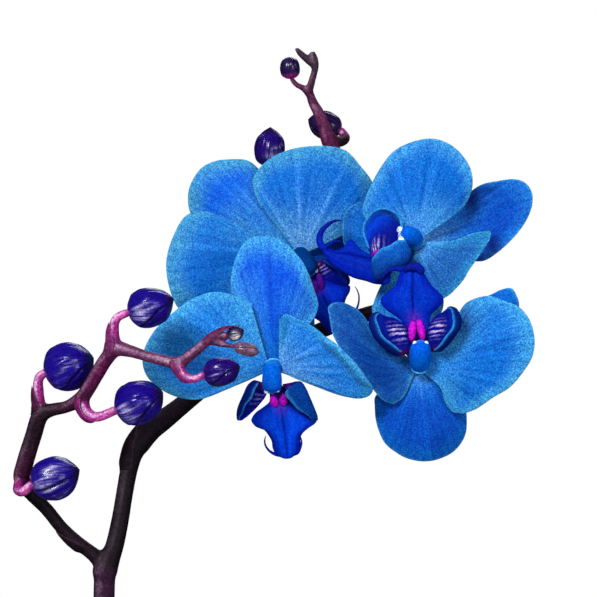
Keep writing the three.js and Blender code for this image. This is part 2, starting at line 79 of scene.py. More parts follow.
# centripetal spline through the points, as the frame's own curves are drawn
def spanned(points, places):
    p = np.asarray(points, float)
    p = np.vstack([2 * p[0] - p[1], p, 2 * p[-1] - p[-2]])
    gaps = np.sqrt(np.maximum(np.linalg.norm(np.diff(p, axis=0), axis=1), 1e-6))
    x = np.clip(np.asarray(places, float), 0, 1) * (len(p) - 3)
    k = np.minimum(x.astype(int), len(p) - 4)
    t = (x - k)[:, None]
    p0, p1, p2, p3 = p[k], p[k + 1], p[k + 2], p[k + 3]
    d0, d1, d2 = gaps[k][:, None], gaps[k + 1][:, None], gaps[k + 2][:, None]
    m1 = ((p1 - p0) / d0 - (p2 - p0) / (d0 + d1) + (p2 - p1) / d1) * d1
    m2 = ((p2 - p1) / d1 - (p3 - p1) / (d1 + d2) + (p3 - p2) / d2) * d1
    return p1 + m1 * t + (3 * (p2 - p1) - 2 * m1 - m2) * t ** 2 + (2 * (p1 - p2) + m1 + m2) * t ** 3


def spannedRadii(radii, places):
    return spanned([(r, 0, 0) for r in radii], places)[:, 0]


# the same, at shares of the length
def along(points, shares):
    if len(points) == 1:
        return np.repeat(np.asarray(points, float), len(shares), axis=0)
    fine = spanned(points, np.linspace(0, 1, 24 * len(points)))
    run = np.concatenate([[0], np.cumsum(np.linalg.norm(np.diff(fine, axis=0), axis=1))])
    want = np.asarray(shares, float) * run[-1]
    return np.stack([np.interp(want, run, fine[:, i]) for i in range(fine.shape[1])], axis=1)


def fromMiddle(turns, reaches):
    a = np.radians(turns)
    return np.stack([reaches * np.cos(a), 0 * a, reaches * np.sin(a)], axis=-1)


# soft repeatable unevenness, about -1 to 1
def uneven(x, y, seed, size):
    draw = np.random.RandomState(seed)
    total = 0
    for _ in range(6):
        a, b = draw.uniform(-1, 1, 2)
        total = total + np.sin((x * a + y * b) * 2 * math.pi / size + draw.uniform(0, 2 * math.pi))
    return total / 3


# a shader node with its inputs set or linked; gives back its outputs
def addNode(tree, kind, inputs=None, **settings):
    made = tree.nodes.new(kind)
    for key, value in settings.items():
        setattr(made, key, value)
    for key, value in (inputs or {}).items():
        if isinstance(value, bpy.types.NodeSocket):
            tree.links.new(value, made.inputs[key])
        else:
            made.inputs[key].default_value = value
    return made.outputs


def newMaterial(name):
    made = bpy.data.materials.new(name)
    made.use_nodes = True
    made.node_tree.nodes.clear()
    return made, made.node_tree


def mixColour(tree, mode, factor, a, b):
    return addNode(tree, "ShaderNodeMix", {0: factor, 6: a, 7: b}, data_type="RGBA", blend_type=mode)[2]


def ramp(tree, source, low, high, toLow=0, toHigh=1):
    return addNode(tree, "ShaderNodeMapRange", {0: source, 1: low, 2: high, 3: toLow, 4: toHigh})[0]


def maths(tree, operation, *inputs):
    return addNode(tree, "ShaderNodeMath", dict(enumerate(inputs)), operation=operation)[0]


def noise(tree, place, scale, detail, roughness):
    return addNode(tree, "ShaderNodeTexNoise", {"Vector": place, "Scale": scale, "Detail": detail,
                                                "Roughness": roughness})["Fac"]


def bands(tree, place, direction, scale, distortion, detail, fineness=1):
    return addNode(tree, "ShaderNodeTexWave", {"Vector": place, "Scale": scale, "Distortion": distortion,
                                               "Detail": detail, "Detail Scale": fineness},
                   wave_type="BANDS", bands_direction=direction)["Fac"]


def bump(tree, height, strength, depth):
    return addNode(tree, "ShaderNodeBump", {"Height": height, "Strength": strength, "Distance": depth})[0]


def endSurface(tree, inputs):
    shader = addNode(tree, "ShaderNodeBsdfPrincipled", inputs)
    addNode(tree, "ShaderNodeOutputMaterial", {"Surface": shader[0]})


# skin of petals, lips, buds and stem: painted tint, mottle, sparkle, veins and a fine relief
def skin(name, look):
    made, tree = newMaterial(name)
    tint = addNode(tree, "ShaderNodeAttribute", attribute_name="tint")["Color"]
    place = addNode(tree, "ShaderNodeTexCoord")["Object"]
    mottle = noise(tree, place, look["mottleScale"], 4, 0.65)
    grain = noise(tree, place, look["grainScale"], 2, 0.7)
    reds = ramp(tree, mottle, 0.35, 0.65, 1 - look["mottle"], 1 + look["mottle"])
    blues = ramp(tree, mottle, 0.35, 0.65, 1 - look["mottle"] / 2, 1 + look["mottle"] / 2)
    shade = addNode(tree, "ShaderNodeCombineColor", {0: reds, 1: reds, 2: blues})[0]
    colour = mixColour(tree, "MULTIPLY", 1, tint, shade)
    height = grain
    if look["veins"]:
        grid = addNode(tree, "ShaderNodeUVMap", uv_map="grain")[0]
        veins = bands(tree, grid, "X", look["veinScale"], 3, 3, 1.2)
        reach = addNode(tree, "ShaderNodeSeparateXYZ", {0: grid})[1]
        lines = maths(tree, "MULTIPLY", ramp(tree, veins, 0.70, 1), ramp(tree, reach, 0.12, 0.5))
        faint = ramp(tree, lines, 0, 1, 0, look["veins"])
        colour = mixColour(tree, "MULTIPLY", faint, colour, look["veinTint"] + (1,))
        height = maths(tree, "MULTIPLY_ADD", lines, -0.3, grain)
    spark = ramp(tree, grain, 0.51, 0.66, 0, look["sparkle"])
    colour = mixColour(tree, "MULTIPLY", spark, colour, look["sparkTint"] + (1,))
    pits = ramp(tree, grain, 0.49, 0.34, 0, look["pits"])
    colour = mixColour(tree, "MULTIPLY", pits, colour, look["pitTint"] + (1,))
    rough = ramp(tree, mottle, 0.3, 0.7, look["rough"] - 0.08, look["rough"] + 0.08)
    if look.get("polish"):  # young stalks are redder and smoother
        redness = addNode(tree, "ShaderNodeSeparateColor", {0: tint})[0]
        rough = maths(tree, "SUBTRACT", rough, ramp(tree, redness, 0.04, 0.22, 0, look["polish"]))
    endSurface(tree, {"Base Color": colour, "Roughness": rough, "Specular IOR Level": look["gloss"],
                      "Coat Weight": look["coat"], "Coat Roughness": look["coatRough"],
                      "Sheen Weight": look["sheen"], "Sheen Roughness": 0.5,
                      "Sheen Tint": look["sheenTint"] + (1,),
                      "Normal": bump(tree, height, look["bump"], look["bumpDepth"])})
    return made


petalLook = {"mottleScale": 430, "mottle": 0.11, "grainScale": 1750, "sparkle": 1,
             "sparkTint": (3, 1.95, 1.25), "pits": 1, "pitTint": (0.2, 0.40, 0.75), "veins": 0.45,
             "veinScale": 7, "veinTint": (0.25, 0.55, 0.82), "rough": 0.62, "gloss": 0.05, "coat": 0,
             "coatRough": 0.3, "sheen": 0.03, "sheenTint": (0.1, 0.6, 1), "bump": 0.28, "bumpDepth": 0.00035}
plainLook = dict(petalLook, veins=0, sheen=0)
lipLook = dict(plainLook, mottleScale=600, mottle=0.20, sparkle=0.5, sparkTint=(1.8, 1.9, 1.15), rough=0.55,
               gloss=0.015, bump=0.3)
budLook = dict(plainLook, mottleScale=300, mottle=0.28, grainScale=1500, sparkle=0.5, sparkTint=(2, 1.8, 1.5),
               pitTint=(0.4, 0.35, 0.5), rough=0.22, gloss=0.26, coat=0.22, coatRough=0.10, bump=0.22)
stemLook = dict(plainLook, mottleScale=500, mottle=0.32, grainScale=1200, sparkle=0.55,
                sparkTint=(2.3, 2.2, 2.3), pits=0.8, pitTint=(0.45, 0.38, 0.42), rough=0.56, polish=0.36,
                gloss=0.10, bump=0.3, bumpDepth=0.0004)
petalSkin = skin("petalSkin", petalLook)
lipSkin = skin("lipSkin", lipLook)
budSkin = skin("budSkin", budLook)
stemSkin = skin("stemSkin", stemLook)
print("skins ready")


def newObject(name, verts, faces):
    mesh = bpy.data.meshes.new(name)
    mesh.from_pydata((np.asarray(verts) * mm).tolist(), [], [f for part in faces for f in part.tolist()])
    made = bpy.data.objects.new(name, mesh)
    scene.collection.objects.link(made)
    return made


def readOut(items, key, width, kind=np.float32):
    values = np.empty(len(items) * width, kind)
    items.foreach_get(key, values)
    return values.reshape(-1, width)


def makePiece(name, verts, faces, material, tint=None, uv=None):
    piece = newObject(name, verts, faces)
    mesh = piece.data
    mesh.polygons.foreach_set("use_smooth", np.ones(len(mesh.polygons), bool))
    if tint is not None:
        rgba = np.ones((len(verts), 4), np.float32)
        rgba[:, :3] = np.clip(tint, 0, 1)
        mesh.color_attributes.new("tint", "FLOAT_COLOR", "POINT").data.foreach_set("color", rgba.ravel())
    if uv is not None:
        corner = readOut(mesh.loops, "vertex_index", 1, np.int32)[:, 0]
        mesh.uv_layers.new(name="grain").data.foreach_set("uv", uv[corner].astype(np.float32).ravel())
    mesh.materials.append(material)
    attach(piece, "root")
    return piece


# several bodies' arrays as one
def gather(bodies):
    verts, faces, tints, uvs, start = [], [], [], [], 0
    for body in bodies:
        verts.append(body["verts"])
        faces += [part + start for part in body["faces"]]
        tints.append(body["tint"])
        uvs.append(body.get("uv", np.zeros((len(body["verts"]), 2))))
        start += len(body["verts"])
    return np.vstack(verts), faces, np.vstack(tints), np.vstack(uvs)


# closed thin body round a middle surface, each face with its own tint
def leafBody(middle, half, tintFront, tintBack, uv):
    n, m = middle.shape[:2]
    normal = unit(np.cross(np.gradient(middle, axis=0), np.gradient(middle, axis=1)))
    front = middle + normal * half[..., None]
    back = middle - normal * half[..., None]
    at = np.arange(n * m).reshape(n, m)
    quads = np.stack([at[:-1, :-1], at[1:, :-1], at[1:, 1:], at[:-1, 1:]], axis=-1).reshape(-1, 4)
    faces = [quads, quads[:, ::-1] + n * m]
    for edge in (at[:, 0][::-1], at[:, -1], at[0, :], at[-1, :][::-1]):
        faces.append(np.stack([edge[:-1], edge[:-1] + n * m, edge[1:] + n * m, edge[1:]], axis=-1)[:, ::-1])
    rows = lambda a: np.broadcast_to(a, (n, m, a.shape[-1])).reshape(n * m, -1)
    return {"verts": np.vstack([rows(front), rows(back)]), "faces": faces,
            "tint": np.vstack([rows(tintFront), rows(tintBack)]), "uv": np.vstack([rows(uv), rows(uv)])}


# point numbers of rings, those of the next point round, and the quads between the rings
def ringQuads(n, sides):
    at = np.arange(n * sides).reshape(n, sides)
    after = np.roll(at, -1, axis=1)
    return at, after, np.stack([at[:-1], after[:-1], after[1:], at[1:]], axis=-1).reshape(-1, 4)


# rings of points joined to a round body; the ends close on single points
def ringBody(ring, ends, tints):
    n, sides = ring.shape[:2]
    at, after, quads = ringQuads(n, sides)
    first = np.stack([after[0], at[0], np.full(sides, n * sides)], axis=-1)
    last = np.stack([at[-1], after[-1], np.full(sides, n * sides + 1)], axis=-1)
    rows = np.broadcast_to(tints, ring.shape).reshape(-1, 3)
    return {"verts": np.vstack([ring.reshape(-1, 3), ends]), "faces": [quads, first, last],
            "tint": np.vstack([rows, rows[:sides].mean(0), rows[-sides:].mean(0)])}


# round body along a path; radii per point, or per point and side
def tubeBody(path, radii, tints, sides=24):
    tangent = unit(np.gradient(path, axis=0))
    across = tone(0.3, 1, 0.2)
    frames = []
    for t in tangent:
        across = across - t * across.dot(t)
        across = across / np.linalg.norm(across)
        frames.append((across, np.cross(t, across)))
    turn = np.linspace(0, 2 * math.pi, sides, endpoint=False)[None, :, None]
    a = np.array([f[0] for f in frames])[:, None]
    b = np.array([f[1] for f in frames])[:, None]
    spread = radii if np.ndim(radii) == 2 else np.repeat(np.asarray(radii, float)[:, None], sides, axis=1)
    ring = path[:, None] + (a * np.cos(turn) + b * np.sin(turn)) * spread[..., None]
    ends = [path[0] - tangent[0] * 0.4 * spread[0].mean(), path[-1] + tangent[-1] * 0.4 * spread[-1].mean()]
    tints = np.asarray(tints, float)
    return ringBody(ring, ends, tints[:, None] if tints.ndim == 2 else tints)


# sepals and petals; millimetres of relief, then shares of tint
tepal = {"start": 3.1, "sepalBack": -1, "petalFront": 1, "thickness": 0.8, "rimHalf": 0.05,
         "ripple": 0.5, "midrib": 0.45, "pleats": 0.10, "waves": 0.30, "turnBack": 0.55, "swell": 0.45,
         "rays": 0.13, "edgeLine": 0.55, "shadowTint": (0.75, 0.75, 0.6), "lineTint": (0.7, 0.6, 0.4),
         "backTint": (1, 0.92, 0.86),
         "across": 84, "rows": np.concatenate([np.linspace(0, 0.93, 40), [0.955, 0.975, 0.99, 1]])}
azure = {
    "deep": (0.001, 0.066, 0.56), "clear": (0.001, 0.086, 0.56), "mid": (0.002, 0.112, 0.5),
    "soft": (0.01, 0.158, 0.57), "rim": (0.04, 0.29, 0.62), "base": (0.08, 0.275, 0.66),
    # shadedBlue: painted shade, a darker copy of the petal blue for tepals that lie in shadow
    "shadedBlue": (0.001, 0.042, 0.26), "haze": (0.008, 0.09, 0.34), "royal": (0.0005, 0.034, 0.4),
    "slate": (0.001, 0.06, 0.43), "teal": (0.014, 0.175, 0.42), "bright": (0.045, 0.225, 0.62),
    "cyan": (0.038, 0.255, 0.58), "sea": (0.042, 0.25, 0.47), "line": (0.05, 0.36, 0.7),
}
azure = toned(azure)
# outlines are turns in degrees (0 right, 90 up) and reaches from the flower's middle; axis, lean, arch, cup
# and side bend the sheet; base, claw and clawReach are its narrow root
plainTepal = {"claw": (0, 0), "base": None, "clawReach": 0.24, "side": 0, "tones": ("mid", "rim", "base"),
              "fade": 0.15, "curl": None, "folds": (), "shadows": (), "lines": ()}


# the outline filled as a flat sheet; s runs along it and w across it, as shares of its size
def tepalSheet(shape):
    lastClaw, firstClaw = shape["claw"]
    turns, reaches = np.array(shape["outline"][::-1], float).T
    points = fromMiddle(turns, reaches)
    low, high = shape["base"] or (turns[-1], turns[0])
    u = np.linspace(0, 1, tepal["across"] + 1)
    v = tepal["rows"]
    rim = along(points[firstClaw:len(points) - lastClaw], u)
    inner = fromMiddle(mix(high, low, u), np.full(len(u), tepal["start"]))
    first = along(np.vstack([inner[:1], points[:firstClaw + 1]]), v)
    last = along(np.vstack([inner[-1:], points[::-1][:lastClaw + 1]]), v)
    uu, vv = u[:, None, None], v[None, :, None]
    chordIn = mix(first[0], last[0], uu)
    chordOut = mix(first[-1], last[-1], uu)
    flat = mix(first[None], last[None], uu) + mix(inner[:, None] - chordIn, rim[:, None] - chordOut, vv)
    x, z = flat[..., 0], flat[..., 2]
    axis = math.radians(shape["axis"])
    halfWidth = np.abs(reaches * np.sin(np.radians(turns) - axis)).max()
    s = (x * math.cos(axis) + z * math.sin(axis)) / reaches.max()
    w = (z * math.cos(axis) - x * math.sin(axis)) / halfWidth
    u, v = u[:, None], v[None, :]
    reach = np.linalg.norm(rim, axis=1)[:, None]
    toSide = np.minimum(u, 1 - u) * 2.2 * halfWidth
    toRim = np.minimum((1 - v) * reach, toSide * np.maximum(v, 0.15))
    return SimpleNamespace(x=x, z=z, s=s, w=w, u=u, v=v, reach=reach, toSide=toSide, toRim=toRim)


def curlBand(curl, u):
    return smooth(u, curl["from"], curl["from"] + 0.08) * (1 - smooth(u, curl["to"] - 0.08, curl["to"]))


# how far out each point stands: the bend, a midrib channel, soft pleats from the claw, folds, and a
# faintly wavy margin that turns back
def tepalOut(shape, sheet, forward, phase, seed):
    s, w, u, v = sheet.s, sheet.w, sheet.u, sheet.v
    rise = s * s / (s + 0.1)
    out = forward + shape["lean"] * rise + shape["arch"] * 4 * rise * (1 - s)
    out += shape["side"] * w + shape["cup"] * w * w
    out += tepal["ripple"] * v * v * np.sin(u * 6 * math.pi)
    out -= tepal["midrib"] * bell(w, 0.07) * smooth(s, 0.1, 0.3) * (1 - 0.8 * smooth(s, 0.3, 0.95))
    pleats = np.sin(u * 43 + phase[0]) + 0.7 * np.sin(u * 71 + phase[1])
    out += tepal["pleats"] * smooth(v, 0.15, 0.5) * pleats * bell(v - 0.5, 0.45)
    waves = np.sin(u * 23 + phase[2]) + 0.6 * np.sin(u * 41 + phase[3])
    out += tepal["waves"] * smooth(v, 0.6, 1) * waves
    out -= tepal["turnBack"] * v ** 9
    out += tepal["swell"] * uneven(sheet.x, sheet.z, seed, 24) * smooth(v, 0.1, 0.5)
    # folds: place across, width, from, to, rise, slant
    for at, wide, start, stop, height, slant in shape["folds"]:
        span = smooth(s, start, start + 0.2) * (1 - smooth(s, stop, stop + 0.2))
        out += height * bell(w - at - slant * (s - 0.5), wide) * span
    curl = shape["curl"]
    if curl:
        out += curl["rise"] * curlBand(curl, u) * np.sin(smooth(v, curl["depth"], 1) * math.pi * 0.62)
    return out


# tint: deep in the middle, paler to the margin, hazy at the claw, faint rays between
def tepalTint(shape, sheet, phase, seed):
    x, z, s, w, u, v = sheet.x, sheet.z, sheet.s, sheet.w, sheet.u, sheet.v
    centre, margin, claw = (azure[name] for name in shape["tones"])
    inward = np.minimum((1 - v) * sheet.reach, sheet.toSide * np.maximum(v, shape["fade"]))
    toMargin = smooth(1 - np.clip(inward / (0.30 * sheet.reach), 0, 1), 0.15, 1)
    patch = uneven(x, z, seed + 50, 16)
    streak = (np.sin(u * 31 + phase[4]) + np.sin(u * 57 + phase[5]) + np.sin(u * 83 + phase[0])) / 3
    share = np.clip(toMargin * 0.85 + 0.10 * patch + 0.10 * streak * smooth(v, 0.2, 0.5), 0, 1)
    hazy = bell(v, shape["clawReach"] * (1 + 0.35 * streak)) * (0.78 + 0.22 * streak)
    tint = wash(wash(centre, margin, share), claw, hazy)
    rays = tepal["rays"] * streak * smooth(v, 0.08, 0.3) * (1 - smooth(v, 0.7, 1))
    tint = wash(tint * (1 + rays)[..., None], azure["line"], tepal["edgeLine"] * bell(sheet.toRim, 0.6))
    # shadows: right and up from the middle, two widths, strength
    for right, up, wide, tall, strength in shape["shadows"]:
        deep = strength * bell(np.hypot((x - right) / wide, (z - up) / tall), 1)
        tint = tint * (1 - deep[..., None] * tone(*tepal["shadowTint"]))
    # lines: place across, width, from, to, strength, slant
    for at, wide, start, stop, strength, slant in shape["lines"]:
        deep = strength * bell(w - at - slant * (s - 0.5), wide)
        deep = deep * smooth(s, start, start + 0.1) * (1 - smooth(s, stop - 0.1, stop))
        tint = tint * (1 - deep[..., None] * tone(*tepal["lineTint"]))
    curl = shape["curl"]
    if curl:
        tint = wash(tint, azure["rim"], 0.9 * curlBand(curl, u) * smooth(v, curl["depth"] - 0.02, 0.97))
    return tint


# thick in the middle, thin and rounded at the margins, duller behind
def tepalBody(shape, forward, seed):
    shape = {**plainTepal, **shape}
    sheet = tepalSheet(shape)
    phase = np.random.RandomState(seed).uniform(0, 2 * math.pi, 6)
    out = tepalOut(shape, sheet, forward, phase, seed)
    full = np.sqrt(1 - (1 - np.clip(sheet.toRim / 1.3, 0, 1)) ** 2)
    half = mix(tepal["rimHalf"], 0.5 * tepal["thickness"] * mix(1.05, 0.62, sheet.v), full)
    tint = tepalTint(shape, sheet, phase, seed)
    under = tint * tone(*tepal["backTint"]) + tone(0.004, 0.012, 0)
    uv = np.stack(np.broadcast_arrays(sheet.u, sheet.v), axis=-1)
    return leafBody(np.stack([sheet.x, -out, sheet.z], axis=-1), half, tint, under, uv)


# lips: all points are right, below and out of the flower's middle; a lobe's rows run from the
# column to the shoulder, each with its root, its belly and its free edge
lip = {
    "centre": [(0, 3.1, 2.9), (0, 5.6, 3.6), (0, 8.5, 5.2), (0, 11, 6.9), (0, 13.2, 8), (0, 15.4, 8.4),
        (0, 18, 8.7), (0, 20.4, 8.8), (0, 22.6, 9.1), (0, 24.8, 9.5), (0, 26.8, 9.9), (0, 28.8, 10),
        (0, 31, 9.7), (0, 33.2, 9.1), (0, 34.4, 8.6), (0, 34.8, 8.2)],
    "edge": [(1.2, 3.1, 2.2), (1.7, 5.6, 2.8), (3, 8.5, 4.2), (3.6, 11, 5.7), (4.4, 13.4, 6.7),
        (6.9, 15.6, 6.9), (10, 18, 6.7), (12.3, 20.4, 6.6), (11.6, 22, 7), (8.8, 23.8, 7.9),
        (6.8, 25.8, 8.3), (5.6, 28, 8.6), (5, 30.4, 8.5), (4.2, 32.6, 8.2), (2.6, 33.8, 7.9),
        (0.8, 34.3, 7.7)],
    "lobe": [((2.8, 5.8, 5.4), (7.6, 5, 8), (6.4, 5.6, 11)),
        ((3.1, 7.8, 6.2), (10.2, 7.2, 9.2), (8.4, 7.8, 13)),
        ((3.3, 10, 6.6), (12.2, 10.2, 9.8), (10.2, 10.6, 13.6)),
        ((3.6, 12.4, 6.9), (13.6, 13.6, 10), (11.6, 13.8, 13.2)),
        ((4.8, 15, 7.3), (14.4, 16.8, 9.8), (12.8, 16.8, 12.2)),
        ((7.2, 17.2, 7.7), (14.4, 19.4, 9.5), (13.4, 19.3, 10.8)),
        ((10.4, 19.2, 8.1), (13.6, 20.8, 9.3), (13.2, 20.7, 9.8))],
    "callus": [(2.3, 9.2, 7.6), (2.3, 10.6, 9), (1.9, 13, 9.3), (1.3, 15.4, 9), (0.9, 17, 8.6)],
    "callusRadii": [1.2, 1.9, 1.8, 1.3, 0.6],
    "cirrus": [(2.6, 33.8, 8.3), (4.6, 33.2, 9), (6.6, 31.4, 9.8), (7.4, 29, 10.2), (7.2, 26.8, 10.2),
        (6.4, 25.2, 9.8)],
    "cirrusRadii": [1, 0.8, 0.62, 0.5, 0.4, 0.16], "thickness": 1.1, "swell": 1.2, "groove": 1.3,
    "rimTurn": 0.9, "veins": 0.11, "teal": (0.52, 0.92), "rimWide": 0.4, "shellHalf": 0.4, "flutter": 0.25,
    "warts": 0.1, "bladeGrid": (97, 57), "lobeGrid": (41, 65), "callusGrid": (40, 32),
    "cirrusGrid": (48, 14),
}
navy = {
    "blade": (0.001, 0.058, 0.72), "dark": (0.001, 0.004, 0.2), "edge": (0.001, 0.014, 0.4),
    "outside": (0.001, 0.04, 0.25), "shade": (0.001, 0.008, 0.13), "groove": (0.001, 0.003, 0.26),
    "magenta": (0.56, 0.006, 0.56), "wine": (0.05, 0.003, 0.07), "stripe": (0.7, 0.52, 0.88),
    "root": (0.09, 0.006, 0.3), "rim": (0.03, 0.27, 0.66), "tendril": (0.004, 0.006, 0.12),
    # dull: the navy that a callus lying in shadow is turned to, a painted shade
    "pit": (0.1, 0.004, 0.22), "dull": (0.02, 0.006, 0.22),
}
navy = toned(navy)


# a lip's own points for one hand (-1 is the viewer's left), or the common ones, mirrored
def handed(flower, own, common, hand):
    points = np.array(flower[own].get(hand, lip[common]), float)
    if hand not in flower[own]:
        points[..., 0] *= hand
    return points


def lipPlace(flower, points):
    p = np.asarray(points, float)
    return np.stack([p[..., 0], -p[..., 2], -p[..., 1]], axis=-1) * flower["lipSize"]


# middle lobe, bulging on both sides of its groove
def bladeBody(flower):
    rows, across = lip["bladeGrid"]
    v = np.linspace(0, 1, rows)
    uu, vv = np.linspace(-1, 1, across)[:, None], v[None, :]
    centre = spanned(flower["centre"], v)
    left, right = (spanned(handed(flower, "edges", "edge", hand), v) for hand in (-1, 1))
    toEdge = np.where(uu[..., None] > 0, right - centre, left - centre)
    reach = np.abs(uu)[..., None]
    flat = centre + toEdge * np.concatenate([reach, reach, reach ** 2], axis=-1)
    fromGroove = np.abs(uu) * np.linalg.norm(toEdge[..., :2], axis=-1)
    lobeShare = smooth(vv, 0.28, 0.5)
    bulge = lip["swell"] * (1 - uu ** 2) ** 0.7 - lip["groove"] * bell(fromGroove, 0.7)
    flat[..., 2] += lobeShare * bulge - 0.4 * smooth(vv, 0.94, 1)
    flat[..., 2] += 0.25 * lobeShare * uneven(flat[..., 0], flat[..., 1], 7, 9)
    flat[..., 2] -= lip["rimTurn"] * np.abs(uu) ** 8 * lobeShare
    half = 0.5 * lip["thickness"] * np.sqrt(np.clip(1 - np.abs(uu) ** 8, 0, 1))
    half = half * (1 - 0.6 * smooth(vv, 0.95, 1)) + 0.05 + 0 * vv
    toSide = smooth(np.abs(uu) + 0.12 * np.sin(9 * vv), 0.25, 0.85)
    tint = wash(tone(*flower["blade"]), navy["edge"], toSide)
    veins = np.sin(uu * 21 + 4 * vv) + 0.6 * np.sin(uu * 37 - 3 * vv)
    tint = tint * (1 + lip["veins"] * veins * lobeShare)[..., None]
    tint = wash(tint, navy["groove"], 0.80 * bell(fromGroove, 0.9) * lobeShare)
    tint = wash(tint, navy["root"], 0.7 * bell(fromGroove, 2.2) * (1 - smooth(vv, 0.30, 0.46)))
    tint = wash(tint, navy["wine"], 1 - smooth(vv + 0 * uu, 0.05, 0.3))
    uv = np.stack(np.broadcast_arrays(uu * 0.5 + 0.5, vv), axis=-1)
    return leafBody(lipPlace(flower, flat), half, tint * tone(1.2, 0.9, 0.7), tint, uv)


# side lobe: a hollow shell that stands up beside the callus and folds in
def lobeBody(flower, hand):
    u, v = (np.linspace(0, 1, count) for count in lip["lobeGrid"])
    uu, vv = u[:, None], v[None, :]
    weights = [2 * u * u - 3 * u + 1, 4 * u - 4 * u * u, 2 * u * u - u]
    rows = handed(flower, "lobes", "lobe", hand)
    shell = sum(weight[:, None, None] * spanned(rows[:, k], v)[None] for k, weight in enumerate(weights))
    flutter = lip["flutter"] * smooth(uu, 0.5, 1) * np.sin(vv * 17 + hand)
    shell[..., 0] += hand * flutter
    middle = lipPlace(flower, shell)
    toFree = np.minimum(np.minimum(1 - uu, vv * 1.4), (1 - vv) * 1.4) * 12
    half = lip["shellHalf"] * np.sqrt(1 - (1 - np.clip(toFree / 1.2, 0, 1)) ** 2) + 0.06
    # broken stripes near the root; painted light that grows out of the painted shade of the hollow towards
    # the free edge; a painted highlight along the free edge
    bent = 1.1 * np.sin(9 * uu + 6 * vv)
    arcs = np.sin((vv * 21 + 15 * uu ** 2) * math.pi + bent + 0.9 * np.sin(19 * vv + hand))
    arcs = arcs + 0.35 * np.sin(47 * uu + 23 * vv) + 0.3 * np.sin(83 * uu - 41 * vv + hand)
    zone = smooth(uu, 0.01, 0.06) * (1 - smooth(uu, 0.13, 0.26))
    zone = zone * bell(vv - flower["stripesAt"], 0.15)
    zone = flower["stripes"] * zone * (0.8 + 0.2 * np.sin(31 * uu + 47 * vv))
    # painted light: the inside turns from the dark of the shaded hollow to a brighter blue towards the free
    # edge
    glow = flower["lobePaintedLight"] * smooth(uu, 0.16, 0.6) * smooth(vv, 0.2, 0.7)
    inside = wash(navy["dark"], navy["blade"], glow)
    inside = wash(inside, navy["wine"], (1 - smooth(vv, 0.04, 0.24)) * (1 - smooth(uu, 0.3, 0.6)))
    inside = wash(inside, navy["stripe"], smooth(arcs, 0.05, 0.65) * zone)
    # painted shade on the outside face: dark near the root, its own blue further out, and darker again
    # towards the shoulder end
    teal = smooth(uu + 0 * vv, *flower["teal"].get(hand, lip["teal"]))
    outside = wash(navy["shade"], tone(*flower["outside"]), teal)
    outside = wash(outside, navy["shade"], flower["lobeShadeFade"] * smooth(vv + 0 * uu, 0.5, 1))
    # painted highlight: a bright line along the free edge, where the curled edge catches the light
    rim = flower["lobeRimHighlight"] * bell((1 - uu) * 12, flower["rimWide"].get(hand, lip["rimWide"]))
    inside, outside = (wash(tint, navy["rim"], rim * np.ones(vv.shape)) for tint in (inside, outside))
    uv = np.stack(np.broadcast_arrays(uu, vv), axis=-1)
    # the face that looks away from the shell's own hollow is its outside
    normal = np.cross(np.gradient(middle, axis=0), np.gradient(middle, axis=1))
    hollow = 0.5 * (middle[:1] + middle[-1:])
    belly = slice(len(u) * 3 // 8, len(u) * 5 // 8 + 1)
    outward = np.sum(normal[belly] * (middle[belly] - hollow)) > 0
    return leafBody(middle, half, *((outside, inside) if outward else (inside, outside)), uv)


# callus: a warty wedge on each side of the cleft
def callusBody(flower, hand):
    path = np.array(flower["callus"], float) * tone(hand, 1, 1)
    path = path + tone(flower["cleft"], 0, 0)
    rows, sides = lip["callusGrid"]
    t = np.linspace(0, 1, rows)
    spin = np.linspace(0, 2 * math.pi, sides, endpoint=False)[None]
    warts = np.sin(t[:, None] * 34 + 3 * np.sin(spin * 2)) * np.sin(spin * 6 + t[:, None] * 9 + hand)
    rounded = np.sqrt(np.sin(np.clip(t * 1.1, 0.04, 1)[:, None] * math.pi / 2))
    radii = spannedRadii(flower["callusRadii"], t)[:, None]
    radii = radii * rounded * (1 + lip["warts"] * warts)
    glow = wash(navy["magenta"], navy["pit"], 0.45 * smooth(-warts, 0.1, 0.9))
    # painted shade: a callus that lies in shadow is dulled towards navy
    glow = mix(glow, navy["dull"], flower["callusShade"])
    glow = mix(glow, navy["root"], smooth(t, 0.8, 1)[:, None, None])
    return tubeBody(spanned(lipPlace(flower, path), t), radii * flower["lipSize"], glow, sides)


# cirrus, a tapering curl
def cirrusBody(flower, hand):
    rows, sides = lip["cirrusGrid"]
    radii = flower["cirrusRadii"].get(hand, lip["cirrusRadii"])
    t = np.linspace(0, 1, rows)
    wide = np.interp(t, np.linspace(0, 1, len(radii)), radii) * flower["lipSize"]
    path = lipPlace(flower, handed(flower, "cirri", "cirrus", hand))
    return tubeBody(spanned(path, t), wide, mix(navy["edge"], navy["tendril"], t[:, None]), sides)


def lipBodies(flower):
    bodies = [bladeBody(flower)]
    for hand in (-1, 1):
        bodies += [lobeBody(flower, hand), callusBody(flower, hand), cirrusBody(flower, hand)]
    return bodies


# columns, as right, front-to-back and up from the flower's middle
column = {
    "neck": [(0, 4, 0), (0, 2.6, 0), (0, 1.4, 0), (0, -1.6, 0)],
    "club": [(0, -3.8, 0.6), (0, -6, -0.6), (0, -8.6, -3.6), (0, -9.8, -6.4), (0, -10.2, -8.4)],
    "radii": [1.9, 3, 3.05, 3, 3.05, 3.5, 3.75, 3.4, 2.3],
    "collar": [(-3.3, -1.7, 1.4), (-2, -2.4, 2.9), (0, -2.8, 3.4), (2, -2.4, 2.9), (3.3, -1.7, 1.4)],
    "root": (0.02, 0.19, 0.56), "body": (0.001, 0.108, 0.58), "end": (0.001, 0.098, 0.64),
    # pale: the collar's painted highlight
    "pale": (0.07, 0.38, 0.76), "cheek": (0.66, 0.74, 0.92), "beak": (0.04, 0.2, 0.66),
    "collarRadius": 0.45, "clubGrid": (72, 36), "collarGrid": (30, 10), "ballGrid": (17, 24),
}


